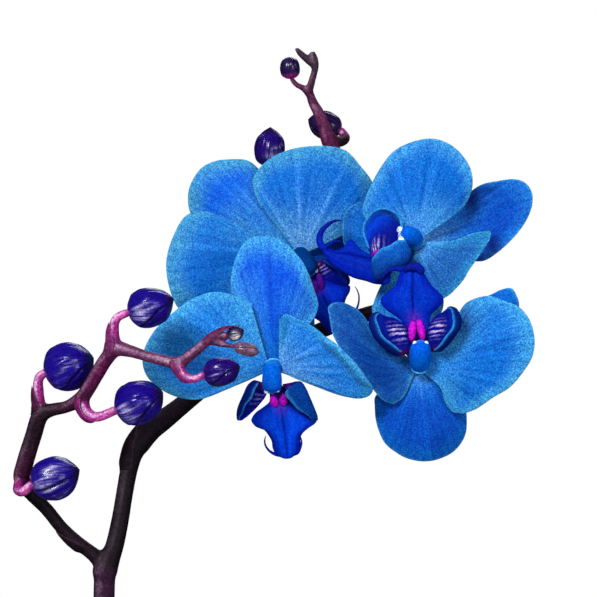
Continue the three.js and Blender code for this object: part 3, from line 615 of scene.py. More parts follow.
def ballBody(centre, axes, radii, tint):
    rows, sides = column["ballGrid"]
    rise = np.linspace(0.05, math.pi - 0.05, rows)[:, None, None]
    spin = np.linspace(0, 2 * math.pi, sides, endpoint=False)[None, :, None]
    side, aim, front = (tone(*a) * r for a, r in zip(axes, radii))
    wide = np.sin(rise)
    ring = centre + side * wide * np.cos(spin) + front * wide * np.sin(spin) + aim * np.cos(rise)
    return ringBody(ring, [centre + aim, centre - aim], tone(*tint))


def columnBodies(flower, turn):
    turned = lambda points: [np.array(turn @ Vector(p)) for p in points]
    path = [np.array(p, float) for p in column["neck"]] + turned(flower["club"])
    rows, sides = column["clubGrid"]
    t = np.linspace(0, 1, rows)
    line = spanned(path, t)
    radii = spannedRadii(column["radii"], t)
    radii = radii * np.sqrt(np.clip(1 - smooth(t, 0.90, 1) ** 2 * 0.8, 0.1, 1))
    tones = mix(tone(*column["body"]), tone(*column["end"]), smooth(t, 0.6, 0.9)[:, None])
    tones = mix(tone(*column["root"]), tones, smooth(t, 0.40, 0.62)[:, None])
    tones = tones * flower["columnShade"]
    bodies = [tubeBody(line, radii * flower["columnSize"], tones, sides)]
    # the collar: a thin ridge round the column, painted pale as a highlight along it
    rows, sides = column["collarGrid"]
    collar = spanned(turned(flower["collar"]), np.linspace(0, 1, rows))
    wide = column["collarRadius"] * np.sin(np.linspace(0.15, math.pi - 0.15, rows))
    bodies.append(tubeBody(collar, wide, np.repeat(tone(*column["pale"])[None], rows, axis=0), sides))
    end = line[-1]
    aim = unit(line[-1] - line[-4])
    side = np.array(turn @ Vector((1, 0, 0)))
    front = np.cross(side, aim)
    axes = (side, aim, front)
    # the anther cap's two pale cheeks and the beak between them
    cheek = flower["cheek"]
    for hand in (-1, 1):
        centre = end + side * hand * 2.1 - aim * 0.9 + front * 0.4
        bodies.append(ballBody(centre, axes, (cheek, cheek * 1.2, cheek), column["cheek"]))
    bodies.append(ballBody(end - aim * 0.9 + front * 0.7, axes, (2.1, 1.4, 1.9), flower["beak"]))
    return bodies


# what a flower has where its own dictionary says nothing else
commonFlower = {
    "lipSize": 1, "lipTurn": 0, "blade": navy["blade"], "outside": navy["outside"], "centre": lip["centre"],
    "callus": lip["callus"], "callusRadii": lip["callusRadii"], "callusShade": 0, "cleft": 0, "edges": {},
    "lobes": {}, "cirri": {}, "cirrusRadii": {}, "stripes": 0.9, "stripesAt": 0.42, "lobePaintedLight": 0.62,
    "lobeShadeFade": 0.5, "lobeRimHighlight": 0.8, "rimWide": {}, "teal": {}, "club": column["club"],
    "collar": column["collar"], "columnShade": 1, "columnSize": 1, "cheek": 0.95, "beak": column["beak"],
}
# each flower: its middle, how it faces (roll, turn, nod) and what sets it apart
frontFlower = {
    "middle": (64, -5, 347.5), "face": (8, 0, 6), "lipSize": 0.96, "cleft": 0.5, "stripes": 0.22,
    "stripesAt": 0.36, "teal": {-1: (0.93, 1.3), 1: (0.3, 0.8)},
    "club": [(-0.2, -3.6, 0.2), (-0.6, -6, -1.4), (-1, -8.6, -4.2), (-1.3, -9.8, -6.6), (-1.5, -10.2, -8)],
    "callus": [(1.9, 9.6, 7.8), (2, 10.8, 9), (1.9, 12.2, 9.1), (1.6, 13.4, 8.8), (1.2, 14.2, 8.3)],
    "centre": [(0, 3.1, 2.9), (0, 5.6, 3.6), (0.2, 8.5, 5.2), (0.4, 11, 6.9), (0.6, 13.2, 8),
        (0.8, 15.4, 8.4), (0.9, 18, 8.7), (1, 20.4, 8.8), (1, 22.6, 9.1), (1, 24.8, 9.5), (1, 26.8, 9.9),
        (1, 28.8, 10), (1, 31, 9.7), (0.9, 33.4, 9.1), (0.8, 34.7, 8.6), (0.8, 35.2, 8.2)],
    "edges": {
        -1: [(-1.2, 3.1, 2.2), (-1.7, 5.6, 2.8), (-2.6, 8.5, 4.2), (-2.8, 10.6, 5.7), (-3.2, 12.4, 6.7),
            (-6, 14.2, 6.9), (-9.4, 16.2, 6.7), (-11.3, 18.9, 6.6), (-10.2, 21, 7), (-7, 22.6, 7.9),
            (-5.5, 24.9, 8.3), (-4.4, 27.6, 8.6), (-4.4, 30.4, 8.5), (-3.6, 32.7, 8.2), (-2, 33.9, 7.9),
            (-0.4, 34.4, 7.7)],
        1: [(1.2, 3.1, 2.2), (1.7, 5.6, 2.8), (3, 8.5, 4.2), (3.4, 11, 5.7), (4.4, 13.8, 6.7),
            (7.4, 16.4, 6.9), (10.8, 19, 6.7), (13.8, 21.4, 6.6), (13.9, 22.8, 7), (10.4, 24.6, 7.9),
            (7.9, 26.2, 8.3), (6.7, 28, 8.6), (6.3, 30.6, 8.5), (5.3, 33, 8.2), (3.4, 34.2, 7.9),
            (1.8, 34.7, 7.7)]},
    "lobes": {
        -1: [((-3.2, 5.6, 5.6), (-7.4, 3.2, 7), (-6.4, 3.9, 11)),
            ((-3.2, 7.6, 6.8), (-9.9, 4.6, 8.6), (-7.9, 6.4, 12.3)),
            ((-4.4, 10, 7.3), (-12.3, 8.2, 9.2), (-9.9, 9.1, 12.6)),
            ((-6.8, 12.4, 7.6), (-14.5, 11.9, 8.8), (-11.8, 11.3, 11.8)),
            ((-9.8, 14.9, 7.8), (-15.8, 14.8, 8.3), (-13.8, 14.1, 10)),
            ((-12.8, 16.9, 7.8), (-16.1, 17, 7.6), (-15.2, 16.4, 8.9)),
            ((-15, 18.1, 7.5), (-15.9, 18, 7.4), (-15.6, 17.6, 7.9))],
        1: [((2.8, 6.4, 5.4), (7.6, 6.4, 7.4), (5.6, 6.9, 11.6)),
            ((3, 7.8, 6), (10, 6.4, 9), (3.8, 8.6, 13.4)),
            ((3.4, 9.8, 6.6), (11.4, 9, 10), (4.1, 10.9, 13.7)),
            ((3.8, 12, 7), (12.5, 12.9, 10.4), (6.2, 14.3, 12.9)),
            ((5.5, 15, 7.2), (13.4, 16.6, 10), (8.9, 17.3, 12.1)),
            ((8.6, 17.8, 7.6), (14.1, 20.2, 9.5), (11.4, 19.9, 11)),
            ((12, 21, 8.4), (14.1, 21.9, 9.3), (13, 21.6, 9.9))]},
    "cirri": {
        -1: [(-1.8, 33.6, 8.2), (-3.6, 33, 8.8), (-5.6, 31.4, 9.6), (-6.9, 29.2, 10.2), (-7.1, 26.8, 10.4),
            (-6.4, 25, 10)],
        1: [(2.6, 34, 8.2), (4.8, 33.4, 8.8), (6.2, 31.6, 9.6), (7, 29.6, 10), (7, 27.8, 10),
            (6.7, 26.6, 9.6)]},
    "cirrusRadii": {-1: [0.9, 0.7, 0.5, 0.4, 0.32, 0.14], 1: [0.9, 0.8, 0.55, 0.4, 0.3, 0.14]},
    "tepals": {
        "dorsal_sepal": {"axis": 88, "lean": -6, "arch": 5, "cup": -5, "tones": ("deep", "rim", "mid"),
            "base": (48, 132), "fade": 0.6,
            "outline": [(50, 24.5), (54, 29), (62, 33), (74, 41), (86, 48), (92, 49.5), (98, 50),
                (103, 48.6), (108, 45), (116, 37), (123, 28.5)]},
        "lateral_sepal_left": {"axis": 176, "lean": -15, "arch": -3, "cup": -4,
            "outline": [(148, 22), (152, 31), (160, 38), (170, 41.5), (180, 41.5), (188, 37), (195, 29),
                (199, 18)]},
        "lateral_sepal_right": {"axis": -6, "lean": -15, "arch": -3, "cup": -4,
            "outline": [(-21, 20), (-20, 28), (-15, 34), (-9, 35), (-2, 30), (6, 26), (14, 22), (20, 17)]},
        "petal_left": {"axis": 158, "lean": 10, "arch": 5, "cup": -6, "side": -1,
            "tones": ("soft", "rim", "soft"), "base": (134, 218), "shadows": [(-25, 1, 10, 5, 0.55)],
            "outline": [(109, 25.5), (118, 30.5), (128, 36), (140, 39.8), (154, 43.5), (163, 46.5),
                (172, 48.6), (179, 48.8), (185, 47), (193, 41.5), (199, 36), (203.5, 30), (204.5, 20)]},
        "petal_right": {"axis": 12, "lean": 13, "arch": 4, "cup": -3, "side": 3,
            "tones": ("soft", "teal", "base"), "base": (-38, 46), "clawReach": 0.42,
            "curl": {"from": 0.25, "to": 0.68, "depth": 0.8, "rise": 2.8},
            "lines": [(-0.55, 0.035, 0.35, 0.95, 0.35, 0.1), (-0.4, 0.03, 0.4, 0.95, 0.28, 0.1),
                (-0.68, 0.03, 0.3, 0.9, 0.3, 0.1)],
            "outline": [(-23, 17), (-22.6, 25.5), (-21.4, 30.5), (-19.5, 34.6), (-16, 37.6), (-12, 38.2),
                (-5, 34.5), (3, 31), (12, 27.6), (22, 25), (31, 22.8), (42, 21.8), (55, 20.8), (66, 20.4),
                (77, 20.6), (83, 18)]}},
}
backFlower = {
    "middle": (74.1, 36, 390.3), "face": (27, 5, 0), "lipSize": 0.95, "stripes": 0.55, "stripesAt": 0.24,
    "columnShade": 0.3, "callusShade": 0.9, "lobeRimHighlight": 0.1, "outside": (0.001, 0.012, 0.2),
    "blade": (0.001, 0.03, 0.56),
    "lobes": {
        1: [((2.8, 5.8, 5.4), (7, 5, 8), (6, 5.6, 11)),
            ((3.1, 7.8, 6.2), (9.4, 7.2, 9.2), (7.6, 7.8, 12.6)),
            ((3.3, 10, 6.6), (11, 10.2, 9.8), (9, 10.6, 13)),
            ((3.6, 12.4, 6.9), (12, 13.2, 10), (10, 13.4, 12.6)),
            ((4.8, 14.6, 7.3), (12.4, 15.8, 9.8), (10.8, 15.8, 12)),
            ((7, 16.6, 7.7), (12.2, 18, 9.5), (11.2, 18, 10.8)),
            ((9.4, 18.4, 8.1), (11.6, 19.4, 9.3), (11.2, 19.3, 9.8))]},
    "cirri": {
        -1: [(-2.4, 34, 8.2), (-3.9, 33.4, 8.8), (-4.4, 30.2, 9.2), (-3.6, 26, 9.6), (-2.4, 22.6, 9.6),
            (-1.2, 20.5, 9.4)],
        1: [(1.6, 34, 8.2), (5, 33.4, 8.8), (9.8, 30.3, 9.4), (12, 28.2, 9.6), (13.5, 25.5, 9.8),
            (13.9, 23.1, 9.8), (13.8, 21.4, 9.6)]},
    "cirrusRadii": {-1: [1, 0.8, 0.6, 0.5, 0.4, 0.16], 1: [1, 0.8, 0.5, 0.4, 0.32, 0.24, 0.12]},
    "tepals": {
        "dorsal_sepal": {"axis": 140, "lean": -7, "arch": 5, "cup": -5, "tones": ("clear", "sea", "soft"),
            "outline": [(114, 32), (116, 40), (119, 44), (126, 48), (132, 51.3), (138, 53), (145, 52.7),
                (151, 51.3), (158, 47.6), (163, 42), (166, 32)]},
        "lateral_sepal_left": {"axis": 264, "lean": -4, "arch": -2, "cup": -3,
            "outline": [(240, 18), (244, 28), (252, 36), (260, 40), (268, 40), (276, 36), (282, 28),
                (285, 18)]},
        "lateral_sepal_right": {"axis": 8, "lean": -6, "arch": -2, "cup": -3,
            # painted shade: this sepal lies in shadow, so it is toned in darker blues
            "tones": ("royal", "slate", "shadedBlue"), "base": (-50, 50),
            "outline": [(-34, 11), (-24, 18), (-10, 24), (-2, 29), (5, 33), (12, 33), (19, 31), (26, 26),
                (32, 19), (36, 12)]},
        "petal_left": {"axis": 188, "lean": 4, "arch": 5, "cup": -6, "side": 2,
            "tones": ("mid", "sea", "mid"),
            "outline": [(155, 21), (155, 31), (155, 42), (160, 47.8), (170, 50.6), (182, 52.9), (194, 53.1),
                (204, 52.2), (213, 48), (221, 40), (225, 28)]},
        "petal_right": {"axis": 82, "lean": 2, "arch": 5, "cup": -6, "tones": ("mid", "sea", "base"),
            "clawReach": 0.36,
            "outline": [(25, 24), (31, 33), (38, 38), (46, 41.1), (55, 42.7), (66, 45.4), (74, 45),
                (85, 43.5), (97, 42), (110, 39.7), (121, 36), (126, 30), (129, 19)]}},
}
rightFlower = {
    "middle": (119.2, 20, 395), "face": (-80, -12, -20), "lipSize": 1.05, "cheek": 1.6,
    "beak": (0.45, 0.6, 0.88), "columnShade": 0.98, "callusShade": 0.4, "stripesAt": 0.7, "lobePaintedLight": 1,
    "rimWide": {-1: 3.2, 1: 0.4}, "outside": (0.004, 0.082, 0.42), "blade": (0.001, 0.018, 0.34),
    "lobeShadeFade": 0.6,
    "callus": [(1, 10.5, 6.2), (1.2, 12, 7.6), (1.2, 13.6, 8.2), (1, 15, 8.2), (0.8, 16, 8)],
    "callusRadii": [0.8, 1.1, 1.1, 0.8, 0.4], "cleft": 5.9,
    "club": [(0, -3.8, 0.4), (0, -6.4, -0.2), (0, -8.8, -1.8), (0, -10.2, -3.2), (0, -11, -4.4)],
    "centre": [(1.8, 2.4, 2.6), (3.2, 5, 4.2), (4.4, 7.8, 5.8), (5.3, 11, 6.9), (6, 13.8, 7.6),
        (6.6, 16.4, 8.1), (5.9, 19.6, 8.6), (5, 22, 9), (4, 24.6, 9.6), (3.2, 27.8, 10.1), (2, 31, 10.4),
        (0.5, 33.3, 10.4)],
    "edges": {
        -1: [(0.5, 2.3, 2.4), (1.5, 5.5, 4.2), (2.3, 9.1, 6), (3.3, 12.8, 7), (5.8, 15.6, 7.6),
            (3.3, 19.4, 8), (0.6, 21, 8), (-2.7, 23.2, 8), (0.3, 25.7, 8.6), (1.9, 28, 9.4),
            (1.2, 30.8, 10), (0, 33.3, 10.2)],
        1: [(2.9, 2.6, 2.4), (4.8, 5.2, 4.2), (7.8, 7.5, 6), (11.6, 9.4, 6.4), (16.4, 11.4, 6.4),
            (15.9, 15.8, 6.6), (14.3, 19.3, 7), (12.4, 23.5, 7.6), (9.6, 27.5, 8.4), (7.4, 30.1, 9.2),
            (4.5, 32, 9.8), (1.6, 33.5, 10.2)]},
    "lobes": {
        -1: [((2.5, 3.9, 6), (-0.1, 2.9, 8), (-2.2, 3.3, 11)),
            ((3, 6.1, 6.4), (-3.3, 3.9, 8.6), (-5.7, 3.8, 12.5)),
            ((3.9, 8.8, 6.8), (-6.4, 6.1, 9), (-9.2, 6.5, 13.5)),
            ((4.7, 11.5, 7), (-7.9, 10.4, 9.2), (-9.6, 10.5, 14)),
            ((5.6, 13.8, 7.2), (-6.6, 14.3, 9.2), (-8.1, 14.5, 13.5)),
            ((6.2, 15.3, 7.4), (-2.3, 16.7, 9), (-3.4, 17.5, 12.5)),
            ((5.7, 16, 7.6), (3.2, 16.6, 8.6), (3.4, 16.4, 10))],
        1: [((4, 3.4, 5.6), (7, 1.1, 8), (2.7, 2.6, 12)),
            ((4.7, 5.6, 6.2), (10.5, 2.6, 8.6), (3.5, 4.7, 13.5)),
            ((5.5, 8.6, 6.6), (12.1, 5.7, 9), (4.5, 7.3, 14.2)),
            ((6.3, 11.3, 7), (12.8, 9.1, 9.2), (5.4, 10, 14.2)),
            ((7.2, 13.6, 7.2), (14.2, 11.9, 9), (6.2, 12.9, 13)),
            ((8.6, 15.2, 7.4), (15.5, 14.7, 8.6), (7.4, 15.2, 11.4)),
            ((11, 15.8, 7.6), (14.8, 16.1, 8.4), (10.8, 16.3, 9.4))]},
    "cirri": {
        -1: [(0.4, 33, 10.4), (-1.7, 34, 11.2), (-4.2, 33.8, 11.8), (-6.6, 32.2, 12.2), (-8.2, 29.7, 12.4),
            (-9.1, 27.4, 12.2), (-8.9, 25.2, 11.8)],
        1: [(0.8, 33, 10.4), (0.2, 32, 11.2), (-0.3, 30.6, 11.8), (-1.1, 28.7, 12), (-0.9, 26.9, 12),
            (-0.1, 25.5, 11.4)]},
    "cirrusRadii": {-1: [1.3, 1.35, 1.2, 0.95, 0.75, 0.5, 0.16], 1: [0.9, 0.8, 0.6, 0.45, 0.3, 0.12]},
    "tepals": {
        "dorsal_sepal": {"axis": 15, "lean": -10, "arch": -4, "cup": 4, "side": -2,
            "tones": ("slate", "soft", "base"), "clawReach": 0.2,
            "shadows": [(22, 17.5, 3.6, 6, 1.15), (27.5, 21.5, 4, 3, 0.6), (30.5, -1, 4.2, 5, 1.2),
                (25, -6, 5, 3, 1.1)],
            "folds": [(-0.3, 0.12, 0.1, 0.8, -0.9, 0), (0.25, 0.12, 0.2, 0.9, -0.8, 0)],
            "outline": [(-18, 23), (-14, 28), (-6, 32.8), (2.4, 38.2), (9, 43.2), (14, 46.6), (19, 49.3),
                (24, 50.6), (29, 49.8), (33, 46.8), (37, 41), (41.5, 35), (44, 26)]},
        "lateral_sepal_left": {"axis": 166, "lean": -9, "arch": 2, "cup": -2,
            "tones": ("mid", "haze", "soft"),
            "outline": [(137, 20), (143, 27), (148, 28.6), (152, 29.6), (158, 30), (165, 29.3), (178, 28.1),
                (189, 26), (200, 20)]},
        "lateral_sepal_right": {"axis": 262, "lean": 2, "arch": 3, "cup": -4,
            "tones": ("soft", "rim", "soft"),
            "outline": [(227, 13), (230, 20), (234, 27), (237, 31.3), (244.6, 34.6), (251, 37), (261, 38.3),
                (276, 35), (289, 29.7), (296, 25), (299, 17)]},
        "petal_left": {"axis": 92, "lean": -9, "arch": 4, "cup": -5, "side": -3,
            "tones": ("mid", "cyan", "bright"), "base": (42, 146), "shadows": [(14, 17, 9, 9, 0.22)],
            "outline": [(35, 16), (37, 23), (41, 28), (46, 32), (54, 36.4), (63, 39.5), (71, 41.3),
                (80, 41.8), (91, 40), (103, 37.1), (113, 33.2), (126, 29), (137, 26.5), (149, 24),
                (157, 20)]},
        "petal_right": {"axis": -44, "lean": 16, "arch": 3, "cup": -3, "claw": (0, 2),
            "tones": ("haze", "teal", "bright"),
            "outline": [(-101, 14), (-88, 20.5), (-75, 23.5), (-61, 23.7), (-51, 23.1), (-40, 22.7),
                (-29, 22.4), (-19, 23.3), (-5, 25.8), (3, 28), (9, 28.8), (9.5, 22), (4, 15)]}},
}
lowFlower = {
    "middle": (119.3, 0, 347.8), "face": (180, 0, 0), "lipTurn": 4, "stripesAt": 0.54, "stripes": 1,
    "columnSize": 1.12, "teal": {-1: (0.82, 1.15), 1: (0.82, 1.15)},
    "club": [(0, -3.4, -0.6), (0, -5.8, -1.9), (0, -8.4, -4.7), (0, -9.7, -7.4), (0, -10.2, -9.4)],
    "collar": [(-3.2, -2.8, 0.9), (-2, -4.9, 2.1), (0, -5.5, 2.5), (2, -4.9, 2.1), (3.2, -2.8, 0.9)],
    "blade": (0.001, 0.03, 0.47),
    "callus": [(2.1, 9.4, 7.6), (2, 11.2, 9), (1.7, 13.6, 9.3), (1.3, 16, 9), (0.9, 18.2, 8.6)],
    "callusRadii": [1.1, 1.65, 1.6, 1.2, 0.6], "cleft": 0.5,
    "centre": [(0, 3.1, 2.9), (0.1, 6, 3.8), (0.2, 10, 5.8), (0.4, 14, 7.8), (0.8, 17.2, 8.6),
        (1.1, 19.8, 8.8), (1.2, 22.4, 9), (1.2, 24.8, 9.3), (1.1, 26.6, 9.7), (1, 28.6, 10),
        (0.8, 30.6, 10.2), (0.7, 33, 10.2), (0.5, 35.6, 9.8), (0.5, 37.4, 9.2), (0.5, 38.3, 8.8)],
    "edges": {
        -1: [(-1.6, 3.1, 2.4), (-3.2, 6, 3.2), (-4.2, 10, 4.8), (-4.6, 14, 6.4), (-4.8, 17, 6.9),
            (-5.8, 19.4, 6.8), (-8.4, 21.6, 6.7), (-10.4, 23.6, 6.8), (-10.5, 25.4, 7.1), (-8.8, 27.6, 7.9),
            (-6.6, 29.8, 8.4), (-5.2, 32, 8.8), (-3.8, 34.6, 8.8), (-2.4, 36.8, 8.6), (-0.4, 38, 8.4)],
        1: [(1.6, 3.1, 2.4), (3.1, 6, 3.2), (4.2, 10, 4.8), (4.7, 14, 6.4), (5.6, 17.2, 6.9),
            (7.8, 19.6, 6.8), (11, 22, 6.7), (12.9, 24.8, 6.8), (12.7, 26.8, 7.1), (9.6, 29, 7.9),
            (7.2, 31, 8.4), (6, 33.4, 8.8), (5, 35.8, 8.8), (3.4, 37.5, 8.6), (1.2, 38.2, 8.4)]},
    "lobes": {
        -1: [((-2.6, 5.6, 5.4), (-7.2, 5, 8.4), (-5.4, 5.9, 11)),
            ((-3, 7.6, 6.2), (-10.2, 7.4, 9.6), (-7.2, 7.8, 13.4)),
            ((-3.2, 10, 6.6), (-13, 10.6, 10.4), (-9.6, 10.3, 14.8)),
            ((-3.4, 12.6, 7), (-14.9, 13.8, 10.6), (-11.8, 13.4, 15.2)),
            ((-4.2, 15.2, 7.4), (-15.2, 17.2, 10.4), (-13.2, 16.8, 14.4)),
            ((-6, 17.6, 7.8), (-14, 20.2, 10), (-12.6, 20.4, 12.2)),
            ((-8.4, 19, 8.2), (-11.8, 21.4, 9.8), (-11.4, 21.4, 10.4))],
        1: [((2.6, 5.6, 5.4), (8, 4.4, 8.6), (6.2, 6.2, 11)),
            ((3, 7.6, 6.2), (11.2, 6.6, 9.6), (8.8, 8.1, 13.2)),
            ((3.2, 10, 6.6), (13.9, 9.7, 10.2), (12, 11.2, 14.2)),
            ((3.4, 12.6, 7), (16, 13.3, 10.4), (14.2, 14.4, 14.2)),
            ((4.2, 15.4, 7.4), (16.9, 17, 10.2), (15.2, 17.8, 13)),
            ((6.6, 17.6, 7.8), (16.2, 20, 9.8), (14.8, 20.4, 11.2)),
            ((10, 19, 8.2), (14, 21.3, 9.6), (13.8, 21.4, 10))]},
    "cirri": {
        -1: [(-0.8, 36, 8.8), (-2, 35.2, 9.8), (-2.4, 36, 10.8), (-1.2, 37.3, 11.4), (1.1, 37.5, 11.6),
            (3, 36.6, 11.2), (3.2, 35.2, 10.4)],
        1: [(2.4, 37.2, 8.6), (4.8, 37, 9.2), (7, 37.4, 9.8), (9.4, 36.8, 10.4), (11.4, 35.2, 10.6),
            (12.6, 33.1, 10.4)]},
    "cirrusRadii": {-1: [1.2, 1.4, 1.7, 1.8, 1.6, 1, 0.4], 1: [1.2, 1.05, 0.9, 0.75, 0.55, 0.2]},
    "tepals": {
        "dorsal_sepal": {"axis": 268, "lean": -5, "arch": 5, "cup": -6, "tones": ("slate", "mid", "bright"),
            "base": (226, 314), "clawReach": 0.15,
            "lines": [(0.45, 0.03, 0.45, 1, 0.35, 0.25), (-0.12, 0.02, 0.3, 0.98, 0.25, 0)],
            "outline": [(213, 15), (216, 20.5), (223, 22.8), (231, 26), (239, 29.3), (247, 32.4),
                (255, 34.2), (263, 35.8), (272, 36.7), (281, 36.8), (291, 36), (299, 34.1), (305, 31.8),
                (311, 28.3), (317, 24.6), (321, 18)]},
        "lateral_sepal_left": {"axis": 36, "lean": -6, "arch": -2, "cup": -3,
            "tones": ("clear", "mid", "clear"),
            "outline": [(21, 20), (20, 30), (24, 40), (30, 44.8), (35, 46.2), (39.5, 46.4), (42, 43.6),
                (44, 39), (50, 31), (52, 20)]},
        "lateral_sepal_right": {"axis": 157, "lean": -5, "arch": -2, "cup": -3,
            "outline": [(142, 17), (144, 28), (149, 35.5), (156, 34.5), (164, 31), (171, 26), (176, 17)]},
        "petal_left": {"axis": 4, "lean": 8, "arch": 5, "cup": -6, "side": -1, "claw": (2, 4),
            "tones": ("mid", "rim", "soft"), "base": (-56, 56),
            "shadows": [(17, 18, 4.5, 6, 0.9), (12, -9, 5, 5, 0.25)],
            "folds": [(0.18, 0.05, 0.1, 0.9, -0.8, -0.15)],
            "outline": [(-46, 11), (-55, 17), (-55, 21.3), (-48, 24.1), (-38, 26.5), (-23, 29.8), (-14, 34),
                (-6, 37.4), (4, 41.9), (10, 43.6), (17, 44.6), (24, 44.9), (31, 43.7), (38, 40.3),
                (45, 37.6), (50, 33.7), (53.5, 29.6), (53.5, 24.9), (51, 20), (48, 13)]},
        "petal_right": {"axis": 170, "lean": 9, "arch": 3, "cup": -4, "side": 3, "claw": (4, 1),
            # painted shade: this petal is turned away from the light, so it is toned darker all over
            "tones": ("shadedBlue", "haze", "haze"), "base": (142, 236),
            "outline": [(152, 12), (147, 18.5), (142, 23), (138, 28), (137.5, 32.5), (140, 37.2),
                (143.5, 40.3), (147, 41.2), (151, 39.1), (156, 36.8), (160, 35), (170, 29.5), (188, 22.5),
                (205, 19.8), (222, 19), (236, 17.5), (243, 13)]}},
}
flowers = {"front": frontFlower, "back": backFlower, "right": rightFlower, "low": lowFlower}

for count, (name, flower) in enumerate(flowers.items()):
    flower = {**commonFlower, **flower}
    roll, turn, nod = (math.radians(a) for a in flower["face"])
    # the same order of turns as the frame's ZXY; a lip may sit a little askew
    about = lambda angle: (Euler((0, 0, turn)).to_matrix() @ Euler((nod, 0, 0)).to_matrix()
                           @ Euler((0, -angle, 0)).to_matrix())
    face = about(roll)
    lipTurn = np.array(about(roll + math.radians(flower["lipTurn"])))
    middle = np.array(flower["middle"], float)
    for step, (kind, shape) in enumerate(flower["tepals"].items()):
        isPetal = kind.startswith("petal")
        body = tepalBody(shape, tepal["petalFront"] if isPetal else tepal["sepalBack"], 11 * count + step)
        node = f"{name}_{kind}"
        piece = makePiece(node + "_skin", body["verts"] + middle, body["faces"], petalSkin,
                          body["tint"], body["uv"])
        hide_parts(node)
    verts, faces, tint, uv = gather(lipBodies(flower))
    piece = makePiece(f"{name}_lip_skin", verts @ lipTurn.T + middle, faces, lipSkin, tint, uv)
    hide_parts(f"{name}_lip")
    verts, faces, tint, uv = gather(columnBodies(flower, face))
    piece = makePiece(f"{name}_column_skin", verts + middle, faces, lipSkin, tint, uv)
    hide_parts(f"{name}_column")
print("flowers open")


# patches of painted highlight: turn round the bud (0 front, up is a quarter), place along it, two widths,
# strength
buds = {
    "bud_1": {"middle": (-16.8, -19, 306.9), "points": (1, -0.1, 0.26), "length": 9, "width": 8,
        "roll": -0.08, "twist": 0.12, "bloom": 0.18, "hook": (0.3, 0, 0.8),
        "glintPatches": [(0.22, -0.28, 0.2, 0.36, 1), (-0.2, -0.1, 0.07, 0.28, 1), (0.85, 0.15, 0.1, 0.35, 0.9),
            (-0.75, 0.25, 0.1, 0.25, 0.5), (0.52, 0, 0.08, 0.5, 0.5)]},
    "bud_2": {"middle": (-11.6, -18, 348.3), "points": (1, -0.2, 0.25), "length": 9.4, "width": 8.7,
        "roll": -0.55, "bloom": 0.12, "hook": (0, 0, 0.8),
        "glintPatches": [(0.22, 0.1, 0.04, 0.3, 0.8), (0.02, -0.15, 0.04, 0.2, 0.7),
            (0.38, 0.25, 0.03, 0.25, 0.6)]},
    "bud_3": {"middle": (15.3, -29, 335.5), "points": (1, -0.3, 0.35), "length": 9.3, "width": 7.8,
        "roll": -0.5, "bloom": 0.18, "hook": (0, 0, 0.8),
        "glintPatches": [(0.05, -0.42, 0.22, 0.24, 1), (0.42, -0.5, 0.07, 0.25, 0.9),
            (-0.32, -0.35, 0.08, 0.35, 0.9), (0.2, -0.05, 0.08, 0.35, 0.5)]},
    "bud_4": {"middle": (19.9, -37, 370.3), "points": (1, -0.2, 0.22), "length": 8.4, "width": 7.1,
        "roll": -0.45, "bloom": 0.22, "hook": (0.2, 0, 1.3),
        "glintPatches": [(-0.08, -0.35, 0.26, 0.34, 1), (-0.3, -0.15, 0.16, 0.22, 1),
            (0.35, -0.3, 0.06, 0.4, 0.7), (0.15, 0.1, 0.06, 0.3, 0.7)]},
    "bud_5": {"middle": (46, -48, 347.4), "points": (1, -0.2, 0.18), "length": 6.7, "width": 5.1,
        "roll": -0.3, "skin": "plum", "hook": (0, 0, 0.6), "bloom": 0.15,
        "glintPatches": [(0.05, -0.15, 0.05, 0.3, 1)]},
    # painted highlight: a near-white glint on this small bud
    "bud_tip_1": {"middle": (51, -48, 361), "points": (1, 0, 0.35), "length": 3.1, "width": 2.7,
        "skin": "dark", "glintTone": (0.8, 0.78, 0.84), "glintPatches": [(-0.15, -0.1, 0.55, 0.45, 1)]},
    "bud_tip_2": {"middle": (55, -48.5, 355.3), "points": (1, 0, -0.25), "length": 4.6, "width": 2.4,
        "skin": "dull"},
    "bud_top_1": {"middle": (70.1, 48, 466.4), "points": (-0.1, -0.1, 1), "length": 4.6, "width": 4,
        "skin": "dark", "blush": -0.4, "blushSpan": 0.5, "blunt": 0.8},
    "bud_top_2": {"middle": (84.3, 62, 444.4), "points": (-0.9, 0, 0.3), "length": 7, "width": 5.5,
        "skin": "dark"},
    "bud_top_3": {"middle": (61.9, 58, 434.6), "points": (0.02, -0.1, 1), "length": 7.6, "width": 6.3,
        "roll": -1.9, "skin": "plum", "blunt": 1.3, "bloom": 0.2,
        "glintPatches": [(1.45, -0.42, 0.34, 0.2, 0.9)]},
}
budProfile = [
    (-1, 0), (-0.985, 0.22), (-0.9, 0.52), (-0.62, 0.86), (-0.18, 1), (0.26, 0.96), (0.6, 0.78),
    (0.82, 0.5), (0.95, 0.24), (1.04, 0),
]
# keelGlint is the pale colour of the painted highlights
budTones = {
    "indigo": {"body": (0.008, 0.0015, 0.185), "keelGlint": (0.24, 0.22, 0.52), "seam": (0.002, 0.001, 0.03),
        "base": (0.3, 0.014, 0.24), "tip": (0.008, 0.002, 0.05)},
    "plum": {"body": (0.012, 0.0015, 0.125), "keelGlint": (0.24, 0.16, 0.42), "seam": (0.002, 0.001, 0.02),
        "base": (0.34, 0.016, 0.24), "tip": (0.01, 0.002, 0.04)},
    "dark": {"body": (0.012, 0.005, 0.05), "keelGlint": (0.06, 0.035, 0.13), "seam": (0.002, 0.001, 0.01),
        "base": (0.34, 0.016, 0.22), "tip": (0.008, 0.003, 0.02)},
    "dull": {"body": (0.13, 0.06, 0.115), "keelGlint": (0.28, 0.18, 0.25), "seam": (0.03, 0.012, 0.03),
        "base": (0.16, 0.05, 0.11), "tip": (0.1, 0.05, 0.1)},
}
